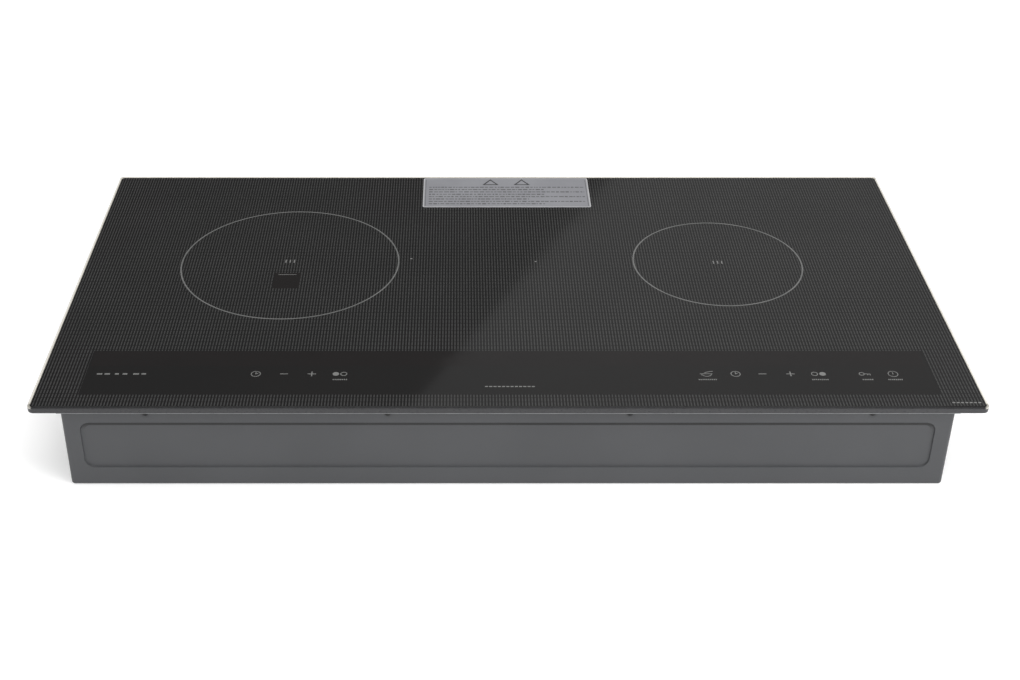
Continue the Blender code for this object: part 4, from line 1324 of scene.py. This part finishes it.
@dataclass
class Casing:
    """The pressed sheet-steel tray with its sunk front panel, vents and screw dimples."""

    corner: float = 3.4 * MM
    fold: float = 1.8 * MM
    sheet: float = 1.0 * MM
    panel: tuple[float, float, float] = (360 * MM, 17.8 * MM, 64.6 * MM)
    panel_corner: float = 9.0 * MM
    panel_step: float = 1.6 * MM
    press: float = 0.8 * MM
    fine: float = 0.3 * MM
    intake: float = 41 * MM
    intake_pitch: float = 8 * MM
    vents: int = 10
    vent_start: float = 70 * MM
    vent_pitch: float = 12 * MM
    vent_level: float = 40 * MM

    def stations(
        self, low: float, high: float, marks: Sequence[Flat], coarse: float
    ) -> list[float]:
        """Return stations from low to high, close together inside each marked stretch.

        Args:
            low: First station.
            high: Last station.
            marks: Stretches that need fine stations.
            coarse: Widest gap elsewhere.

        Returns:
            The stations in order.
        """
        found = {low, high}
        for start, end in marks:
            count = math.ceil((end - start) / self.fine)
            found |= {start + (end - start) * i / count for i in range(count + 1)}
        ordered = sorted(found)
        filled = [ordered[0]]
        for here in ordered[1:]:
            gap = here - filled[-1]
            pieces = max(1, math.ceil(gap / coarse))
            start = filled[-1]
            filled += [start + gap * (i + 1) / pieces for i in range(pieces)]
        return filled

    def depth(self, x: float, z: float) -> float:
        """Return how far the front wall is pressed in at a point."""
        half, low, high = self.panel
        middle, tall = (low + high) / 2, (high - low) / 2
        across = abs(x) - half + self.panel_corner
        up = abs(z - middle) - tall + self.panel_corner
        outside = math.hypot(max(across, 0), max(up, 0)) + min(max(across, up), 0)
        share = min(1, max(0, (self.panel_corner - outside) / self.press))
        return self.panel_step * share * share * (3 - 2 * share)

    def shell(self) -> bpy.types.Object:
        """Return the tray as bent and pressed sheet, before its holes."""
        low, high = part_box("casing")
        half, front, rear, top = high.x, low.y, high.y, high.z
        panel_half, panel_low, panel_high = self.panel
        reach = self.panel_corner + 0.5 * MM
        marks = [(sign * panel_half - (reach if sign > 0 else 0.5 * MM),
                  sign * panel_half + (reach if sign < 0 else 0.5 * MM)) for sign in (-1, 1)]
        columns = self.stations(-half + self.corner, half - self.corner, marks, 24 * MM)
        marks = [(panel_low - 0.5 * MM, panel_low + reach),
                 (panel_high - reach, panel_high + 0.5 * MM)]
        levels = self.stations(self.fold, top, marks, 6 * MM)
        turns = [math.pi / 2 * i / 7 for i in range(7)]
        steps = [(self.fold * (1 - math.sin(t)), self.fold * (1 - math.cos(t))) for t in turns]
        rings = [self.loop(columns, half, front, rear, inset, z) for inset, z in
                 [*steps, *((0.0, z) for z in levels)]]
        stock = Stock()
        stock.loft(rings, lid=False)
        made = keep(stock.bm, "pressed_casing")
        wall = made.modifiers.new("sheet", "SOLIDIFY")
        wall.thickness, wall.offset, wall.use_even_offset = self.sheet, -1, True
        return settle(made)

    def loop(
        self, columns: Sequence[float], half: float, front: float, rear: float, inset: float,
        z: float,
    ) -> list[Point]:
        """Return the tray's outline at one level, moved in by inset."""
        points = [(x, front + inset + (self.depth(x, z) if not inset else 0), z) for x in columns]
        r = self.corner - inset
        inner_x, inner_low, inner_high = half - self.corner, front + self.corner, rear - self.corner
        for cx, cy, start in ((inner_x, inner_low, -90), (inner_x, inner_high, 0),
                              (-inner_x, inner_high, 90), (-inner_x, inner_low, 180)):
            points += [(px, py, z) for px, py in arc(cx, cy, r, start, start + 90, 8)]
        return [p for i, p in enumerate(points) if math.dist(p, points[i - 1]) > 0.01 * MM]

    def openings(self) -> list[Stock]:
        """Return the cutters for the vents, the screw dimples and the cable hole."""
        low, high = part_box("casing")
        slots = Stock()
        for side in Side:
            middle = middle_of(f"{side.label}_fan_rotor")
            for row in range(-4, 5):
                y = middle.y + row * self.intake_pitch
                length = 2 * math.sqrt(self.intake**2 - (row * self.intake_pitch) ** 2)
                for half in (-1, 1):
                    x, reach = middle.x + half * (length / 4 + 1.5 * MM), length / 4 - 1.5 * MM
                    slots.prism(self.slot(x, y, reach, 1.6 * MM), -3 * MM, 4 * MM)
        for side in Side:
            for i in range(self.vents):
                x = side.value * (self.vent_start + self.vent_pitch * i)
                slot = self.slot(0, 0, 17 * MM, 2 * MM)
                upright = [(x + dy, self.vent_level + dx) for dx, dy in slot]
                slots.prism(upright, high.y - 6 * MM, high.y + 4 * MM, Axis.Y)
        dimples = Stock()
        for i in range(4):
            screw = middle_of(f"front_screw_{i + 1}")
            profile = [(4.6 * MM, -0.3 * MM), (4.4 * MM, 0), (2.0 * MM, 1.0 * MM),
                       (2.0 * MM, 4 * MM)]
            dimples.turned(profile, (screw.x, low.y, screw.z), 36, Axis.Y)
        gland = middle_of("cable_gland")
        hole = Stock()
        profile = [(9 * MM, -6 * MM), (9 * MM, 4 * MM)]
        hole.turned(profile, (gland.x, high.y, gland.z), 36, Axis.Y)
        return [slots, dimples, hole]

    @staticmethod
    def slot(x: float, y: float, reach: float, radius: float) -> list[Flat]:
        """Return a slot's outline with round ends; reach is half its length."""
        right = arc(x + reach - radius, y, radius, -90, 90, 6)
        return right + arc(x - reach + radius, y, radius, 90, 270, 6)

    def build(self) -> None:
        """Make the whole casing."""
        tray = self.shell()
        carve(tray, self.openings())
        fit(tray, PAINT, stands_for=["casing"])


@dataclass
class FrontScrews:
    """The four countersunk screws in the top of the front wall."""

    cross: Flat = (1.5 * MM, 0.28 * MM)
    recess: Flat = (-0.4 * MM, 0.55 * MM)
    sunk: float = 0.15 * MM

    def build(self) -> None:
        """Make one cross-recessed screw and repeat it along the wall."""
        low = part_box("front_screw_1")[0]
        middle, last = middle_of("front_screw_1"), middle_of("front_screw_4")
        stock = Stock()
        profile = [(0.2 * MM, -0.12 * MM), (1.6 * MM, -0.06 * MM), (2.5 * MM, 0.02 * MM),
                   (2.6 * MM, 0.1 * MM), (1.5 * MM, 1.0 * MM), (1.5 * MM, 8.6 * MM),
                   (0.3 * MM, 9 * MM)]
        stock.turned(profile, (0, 0, 0), 32, Axis.Y)
        screw = stock.thing("screw_master")
        slots = []
        for wide, tall in (self.cross, self.cross[::-1]):
            slots.append(Stock())
            slots[-1].box((-wide, self.recess[0], -tall), (wide, self.recess[1], tall))
        carve(screw, slots)
        step = ((last.x - middle.x) / 3, 0.0, 0.0)
        start = (middle.x, low.y + self.sunk, middle.z)
        row = row_of("front_screws", screw, 4, start, step, BLACKED)
        fit(row, BLACKED, stands_for=[f"front_screw_{i}" for i in range(1, 5)])


@dataclass
class Clamps:
    """The two worktop clamps: a bracket, an upright screw and a swinging arm on each side."""

    nodes: Mapping[str, bpy.types.Object]
    head: float = 4.0 * MM
    core: float = 2.15 * MM
    thread: float = 0.35 * MM
    pitch: float = 1.0 * MM

    def build(self) -> None:
        """Make both clamps."""
        for side in Side:
            word = side.label
            arm = rounded_copy(self.nodes[f"{word}_clamp"], 0.5 * MM, 3)
            fit(arm, ZINC, Body(f"{word}_clamp"), [f"{word}_clamp"])
            bracket = rounded_copy(self.nodes[f"{word}_clamp_bracket"], 0.35 * MM, 2)
            fit(bracket, ZINC, stands_for=[f"{word}_clamp_bracket"])
            self.screw(f"{word}_clamp_screw")

    def screw(self, node: str) -> None:
        """Make one hexagon-headed screw with a rolled thread."""
        low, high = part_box(node)
        x, y, _ = middle_of(node)
        tall, radius, reach = high.z - low.z, (high.y - low.y) / 2, self.core
        start = self.head + self.pitch
        turns = (tall - start - self.pitch) / self.pitch
        wound = coil_of(f"{node}_thread", turns, (reach, reach), turns * self.pitch, self.thread,
                        (x, y, low.z + start), BLACKED, 5)
        stock = Stock()
        wide = [(radius - 0.6 * MM, 0), (radius, 0.35 * MM), (radius, self.head - 0.4 * MM),
                (radius - 0.7 * MM, self.head), (0.3 * MM, self.head)]
        stock.turned([(0.3 * MM, 0), *wide], (x, y, low.z), 6)
        shank = [(0.3 * MM, 1 * MM), (reach, 1 * MM), (reach, tall - 0.8 * MM),
                 (reach - 0.8 * MM, tall), (0.3 * MM, tall)]
        stock.turned(shank, (x, y, low.z), 20)
        stock.absorb(wound)
        fit(stock.thing(f"{node}_threaded"), BLACKED, stands_for=[node])


@dataclass
class CableGland:
    """The hexagonal plastic gland in the rear wall, with a ribbed cap and a clear bore."""

    bore: float = 5.0 * MM
    barrel: float = 8.2 * MM
    flange: float = 4.7 * MM
    nut: float = 5.0 * MM
    gap: float = 0.3 * MM
    sheet: float = 1.0 * MM
    ribs: int = 20

    def build(self) -> None:
        """Make the gland."""
        low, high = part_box("cable_gland")
        x, _, z = middle_of("cable_gland")
        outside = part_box("casing")[1].y + self.gap
        inside = outside - self.sheet - 2 * self.gap
        radius = max(high.z - low.z, high.x - low.x) / 2
        cap, bore, barrel = high.y - 0.2 * MM, self.bore, self.barrel
        rib = Stock()
        wide, tall = 1.7 * MM, 0.35 * MM
        rib.box((barrel - 0.5 * MM, -wide, -tall), (barrel + tall, wide, tall))
        grip = ring_of("gland_grip", rib.thing("gland_rib"), self.ribs, (x, cap - 1.9 * MM, z),
                       PLASTIC, Axis.Y)
        stock = Stock()
        section = [(bore, low.y), (barrel - 0.6 * MM, low.y), (barrel, low.y + 0.6 * MM),
                   (barrel, cap - 0.9 * MM), (barrel - 1 * MM, cap), (bore + 0.8 * MM, cap),
                   (bore, cap - 0.8 * MM)]
        stock.turned(section, (x, 0, z), 40, Axis.Y, hollow=True)
        for start, end in ((outside, outside + self.flange), (inside - self.nut, inside)):
            hexagon = [(bore + 1 * MM, start), (radius - 0.8 * MM, start),
                       (radius, start + 0.4 * MM), (radius, end - 0.5 * MM),
                       (radius - 1 * MM, end), (bore + 1 * MM, end)]
            stock.turned(hexagon, (x, 0, z), 6, Axis.Y, hollow=True)
        stock.absorb(grip)
        fit(stock.thing("cable_gland_body"), PLASTIC, stands_for=["cable_gland"])


# ---------------------------------------------------------------------------------------------
# Inside the casing
# ---------------------------------------------------------------------------------------------


@dataclass
class Fans:
    """The two cooling fans: a square housing with a rotor of twisted blades."""

    nodes: Mapping[str, bpy.types.Object]
    blades: int = 9
    hub: Flat = (18 * MM, 14 * MM)
    span: Flat = (17 * MM, 39.5 * MM)
    chord: Flat = (15 * MM, 18 * MM)
    pitch: Flat = (46.0, 28.0)
    thick: float = 0.7 * MM
    camber: float = 1.2 * MM
    stations: int = 9
    facets: int = 12

    def build(self) -> None:
        """Make both fans."""
        for side in Side:
            housing = rounded_copy(self.nodes[f"{side.label}_fan_housing"], 0.6 * MM, 2)
            fit(housing, PLASTIC, stands_for=[f"{side.label}_fan_housing"])
            self.rotor(f"{side.label}_fan_rotor")

    def blade(self) -> bpy.types.Object:
        """Return one blade that reaches out along X from the origin's axis."""
        stock, rings = Stock(), []
        for i in range(self.stations):
            radius, chord, pitch = (start + (end - start) * i / (self.stations - 1)
                                    for start, end in (self.span, self.chord, self.pitch))
            angle = math.radians(pitch)
            ring = []
            for k in range(self.facets):
                around = 2 * math.pi * k / self.facets
                along = chord / 2 * math.cos(around)
                up = self.thick * math.sin(around) + self.camber * (1 - (2 * along / chord) ** 2)
                ring.append((radius, along * math.cos(angle) - up * math.sin(angle),
                             along * math.sin(angle) + up * math.cos(angle)))
            rings.append(ring)
        stock.loft(rings)
        return stock.thing("blade_master", 60)

    def rotor(self, node: str) -> None:
        """Make one rotor with its hub, shaft and blades."""
        low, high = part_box(node)
        x, y, _ = middle_of(node)
        radius, half = self.hub[0], self.hub[1] / 2
        middle = high.z - half
        blades = ring_of(f"{node}_blades", self.blade(), self.blades, (x, y, middle), PLASTIC)
        stock = Stock()
        cap = [(0.3 * MM, -half), (radius - 0.4 * MM, -half), (radius, -half + 0.4 * MM),
               (radius, half - 2.2 * MM), (radius - 0.7 * MM, half - 0.7 * MM),
               (radius - 2.2 * MM, half), (6 * MM, half), (5.4 * MM, half - 0.6 * MM),
               (0.3 * MM, half - 0.6 * MM)]
        stock.turned(cap, (x, y, middle), 48)
        shaft = [(0.3 * MM, low.z), (1.4 * MM, low.z), (1.6 * MM, low.z + 0.2 * MM),
                 (1.6 * MM, middle), (0.3 * MM, middle)]
        stock.turned(shaft, (x, y, 0), 16)
        stock.absorb(blades)
        fit(stock.thing(f"{node}_moulding", 40), PLASTIC, Body(node), [node])


@dataclass
class Windings:
    """The flat litz coils under the zones and the wound chokes on the boards."""

    wire: float = 2.3 * MM
    pitch: float = 4.7 * MM
    inner: Flat = (50 * MM, 24 * MM)
    loops: int = 24
    ring: float = 14.5 * MM
    core: Flat = (5.2 * MM, 6.6 * MM)
    ease: float = 0.8 * MM
    loop_wire: float = 0.8 * MM

    def build(self) -> None:
        """Wind both coils and both chokes."""
        for side, inner in zip(Side, self.inner):
            self.coil(f"{side.label}_coil_winding", inner)
            self.choke(f"{side.label}_filter_choke")

    def coil(self, node: str, inner: float) -> None:
        """Wind one flat spiral coil."""
        low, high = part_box(node)
        radii = (inner + self.wire, (high.x - low.x) / 2 - self.wire)
        turns = (radii[1] - radii[0]) / self.pitch
        coil = coil_of(f"{node}_litz", turns, radii, 0.0, self.wire, tuple(middle_of(node)),
                       COPPER, 10)
        fit(coil, COPPER, stands_for=[node])

    def choke(self, node: str) -> None:
        """Wind one choke: a ferrite ring with loops of wire round it."""
        centre = tuple(middle_of(node))
        (half, tall), middle, ease = self.core, self.ring, self.ease
        section = [(middle - half, -tall + ease), (middle - half + ease, -tall),
                   (middle + half - ease, -tall), (middle + half, -tall + ease),
                   (middle + half, tall - ease), (middle + half - ease, tall),
                   (middle - half + ease, tall), (middle - half, tall - ease)]
        core = Stock()
        core.turned(section, centre, 48, hollow=True)
        fit(core.thing(f"{node}_core"), FERRITE)
        loop = Stock()
        flat = rounded(half + 0.35 * MM, -tall - 0.9 * MM, tall + 0.9 * MM, 1.6 * MM, 3)
        loop.wire([Vector((middle + x, 0, z)) for x, z in flat], self.loop_wire, 6, looped=True)
        master = loop.thing("loop_master", 60)
        wound = ring_of(f"{node}_wire", master, self.loops, centre, COPPER)
        fit(wound, COPPER, stands_for=[node])


@dataclass
class SensorSprings:
    """The compression springs under the two temperature sensors.

    Attributes:
        wire: Radius of the wire.
        turns: Turns of each spring.
        per_turn: Straight stretches to the turn.
        travel: How much a spring would shorten, a little more than its sensor's travel; not used.
    """

    wire: float = 0.45 * MM
    turns: int = 5
    per_turn: int = 28
    travel: float = 1.6 * MM

    def build(self) -> None:
        """Wind both springs."""
        for side in Side:
            self.wind(side)

    def wind(self, side: Side) -> None:
        """Wind one spring."""
        node = f"{side.label}_sensor_spring"
        low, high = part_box(node)
        middle = middle_of(node)
        radius = (high.x - low.x) / 2 - self.wire
        bottom, top = low.z + self.wire, high.z - self.wire
        count = self.turns * self.per_turn
        path = []
        for i in range(count + 1):
            angle = math.tau * i / self.per_turn
            path.append(Vector((middle.x + radius * math.cos(angle),
                                middle.y + radius * math.sin(angle),
                                bottom + (top - bottom) * i / count)))
        stock = Stock()
        stock.wire(path, self.wire, 10)
        coil = fit(stock.thing(f"{node}_coil"), SPRING, stands_for=[node])
        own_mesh(coil)


@dataclass
class MouldedParts:
    """The moulded and extruded parts on the boards, with their edges eased."""

    nodes: Mapping[str, bpy.types.Object]
    both: tuple[tuple[str, float, Finish], ...] = (
        ("power_transistor", 0.5 * MM, PLASTIC),
        ("bridge_rectifier", 0.7 * MM, PLASTIC),
        ("resonant_capacitor", 0.6 * MM, YELLOW),
        ("heatsink", 0.25 * MM, ALUMINIUM),
        ("display", 0.5 * MM, LENS),
    )

    def build(self) -> None:
        """Ease the edges of each part."""
        for side in Side:
            for word, width, finish in self.both:
                self.ease(f"{side.label}_{word}", width, finish)
        self.ease("terminal_block", 0.7 * MM, WHITE_RUBBER)

    def ease(self, node: str, width: float, finish: Finish) -> None:
        """Ease the edges of one part."""
        fit(rounded_copy(self.nodes[node], width, 2), finish, stands_for=[node])


# ---------------------------------------------------------------------------------------------
# Studio
# ---------------------------------------------------------------------------------------------


@dataclass(frozen=True)
class SoftBox:
    """A large soft studio light.

    Attributes:
        name: Its name.
        place: Where it hangs.
        target: Where it points.
        size: Its width and height.
        power: Its power in watts.
        mirrored: Whether glossy surfaces show it.
    """

    name: str
    place: Point
    target: Point
    size: Flat
    power: float
    mirrored: bool = True

    def build(self) -> None:
        """Hang the light and turn it to its target."""
        lamp = bpy.data.lights.new(self.name, "AREA")
        lamp.shape, lamp.energy = "RECTANGLE", self.power
        lamp.size, lamp.size_y = self.size
        thing = link(self.name, lamp)
        thing.location = self.place
        aim = Vector(self.target) - Vector(self.place)
        thing.rotation_euler = aim.to_track_quat("-Z", "Y").to_euler()
        thing.visible_camera = False
        thing.visible_glossy = self.mirrored


@dataclass
class Studio:
    """The pale floor, the soft lights, the card that the glass reflects, and the camera."""

    floor_half: float = 9.0
    lights: tuple[SoftBox, ...] = (
        SoftBox("overhead_light", (0.0, -0.8, 2.4), (0, 0, 0), (2.2, 1.2), 20.0),
        SoftBox("left_light", (-2.4, -1.0, 1.3), (0, 0, 0), (1.4, 1.4), 7.0, False),
        SoftBox("right_light", (1.2, -1.0, 0.8), (0.4, 0, 0), (0.8, 0.8), 13.0, False),
        SoftBox("rear_light", (0.3, 1.4, 3.0), (0, 0, 0), (2.0, 1.0), 6.0),
    )
    card_glow: float = 0.212
    card_level: float = 1.5
    card_corners: tuple[Flat, ...] = ((-0.390, 1.602), (0.344, 0.600), (2.2, 0.600), (2.2, 1.602))
    floor_glow: float = 0.22
    surround: float = 0.047
    zenith: float = 0.45
    ambient: float = 0.82
    lens: float = 55.38
    shift: float = 0.0478
    stand: Point = (-0.0390, -1.2832, 0.8271)
    tilt: float = 57.670

    def build(self) -> None:
        """Set up everything round the object."""
        bpy.context.scene.view_settings.view_transform = "Standard"
        self.floor()
        self.card()
        self.world()
        for light in self.lights:
            light.build()
        self.camera()

    def floor(self) -> None:
        """Lay the plain pale floor."""
        half = self.floor_half
        stock = Stock()
        stock.box((-half, -half, -20 * MM), (half, half, -0.05 * MM))
        floor = stock.thing("studio_floor")
        finish = Finish("", (0.86, 0.86, 0.86), (0.88, 0.88, 0.88), (0.85, 0.95), patch=1, grain=40,
                        relief=0.0, name="studio_floor")
        material = finish.material()
        shader = material.node_tree.nodes["Principled BSDF"]
        shader.inputs["Emission Color"].default_value = (1, 1, 1, 1)
        shader.inputs["Emission Strength"].default_value = self.floor_glow
        floor.data.materials.append(material)

    def card(self) -> None:
        """Hang the dim card behind the cooktop whose slanting edge shows in the glass."""
        bench = ShaderBench("reflection_card")
        bench.set("Base Color", (0, 0, 0))
        across = bench.axes(bench.place()).out("X")
        fading = bench.blend(across.between(0.0, 1.3), (1, 1, 1), (0.86, 0.86, 0.86))
        bench.set("Emission Color", fading)
        bench.set("Emission Strength", self.card_glow)
        mesh = bpy.data.meshes.new("reflection_card")
        corners = [(x, self.card_level, z) for x, z in self.card_corners]
        mesh.from_pydata(corners, [], [(0, 1, 2, 3)])
        mesh.materials.append(bench.material)
        card = link("reflection_card", mesh)
        card.visible_camera = card.visible_diffuse = card.visible_shadow = False

    def world(self) -> None:
        """Make the surroundings: white to look at, dim near the horizon in reflections."""
        world = bpy.data.worlds.new("studio")
        bpy.context.scene.world = world
        world.use_nodes = True
        bench = Bench(world.node_tree)
        bench.tree.nodes.clear()
        rays = bench.add("ShaderNodeLightPath")
        seen, glossy = rays.out("Is Camera Ray"), rays.out("Is Glossy Ray")
        where = bench.add("ShaderNodeTexCoord").out("Generated")
        height = bench.axes(where).out("Z")
        mirrored = self.surround + self.zenith * height.between(0.74, 0.92)
        level = seen + (1 - seen) * (glossy * mirrored + (1 - glossy) * self.ambient)
        glow = bench.add("ShaderNodeBackground", inputs={"Color": (1, 1, 1), "Strength": level})
        bench.add("ShaderNodeOutputWorld", inputs={"Surface": glow.out()})

    def camera(self) -> None:
        """Set the camera in front of the cooktop, looking down on it."""
        lens = bpy.data.cameras.new("studio_camera")
        lens.lens, lens.sensor_width, lens.shift_x = self.lens, 36.0, self.shift
        camera = link("studio_camera", lens)
        camera.location = self.stand
        camera.rotation_euler = (math.radians(self.tilt), 0, 0)
        bpy.context.scene.camera = camera


def dress_packed(frame: dict) -> None:
    """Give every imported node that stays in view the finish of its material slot."""
    for row in frame["record"]["subparts"]:
        node = frame["nodes"][row["node"]]
        if not node.hide_render:
            node.data.materials.clear()
            node.data.materials.append(BY_SLOT[row["material_slot"]].material())
            LOG.info("%s: packed shape, %s", row["node"], row["material_slot"])


def main() -> None:
    """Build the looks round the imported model."""
    logging.basicConfig(level=logging.INFO, format="%(message)s")
    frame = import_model()
    nodes = frame["nodes"]
    for maker in (Glass(), DashPrint(), ZoneMarks(), ControlStrip(), InfoLabel(), Trims(), Casing(),
                  FrontScrews(), Clamps(nodes), CableGland(), Fans(nodes), Windings(),
                  SensorSprings(), MouldedParts(nodes)):
        maker.build()
    dress_packed(frame)
    Studio().build()


if __name__ == "__main__":
    main()
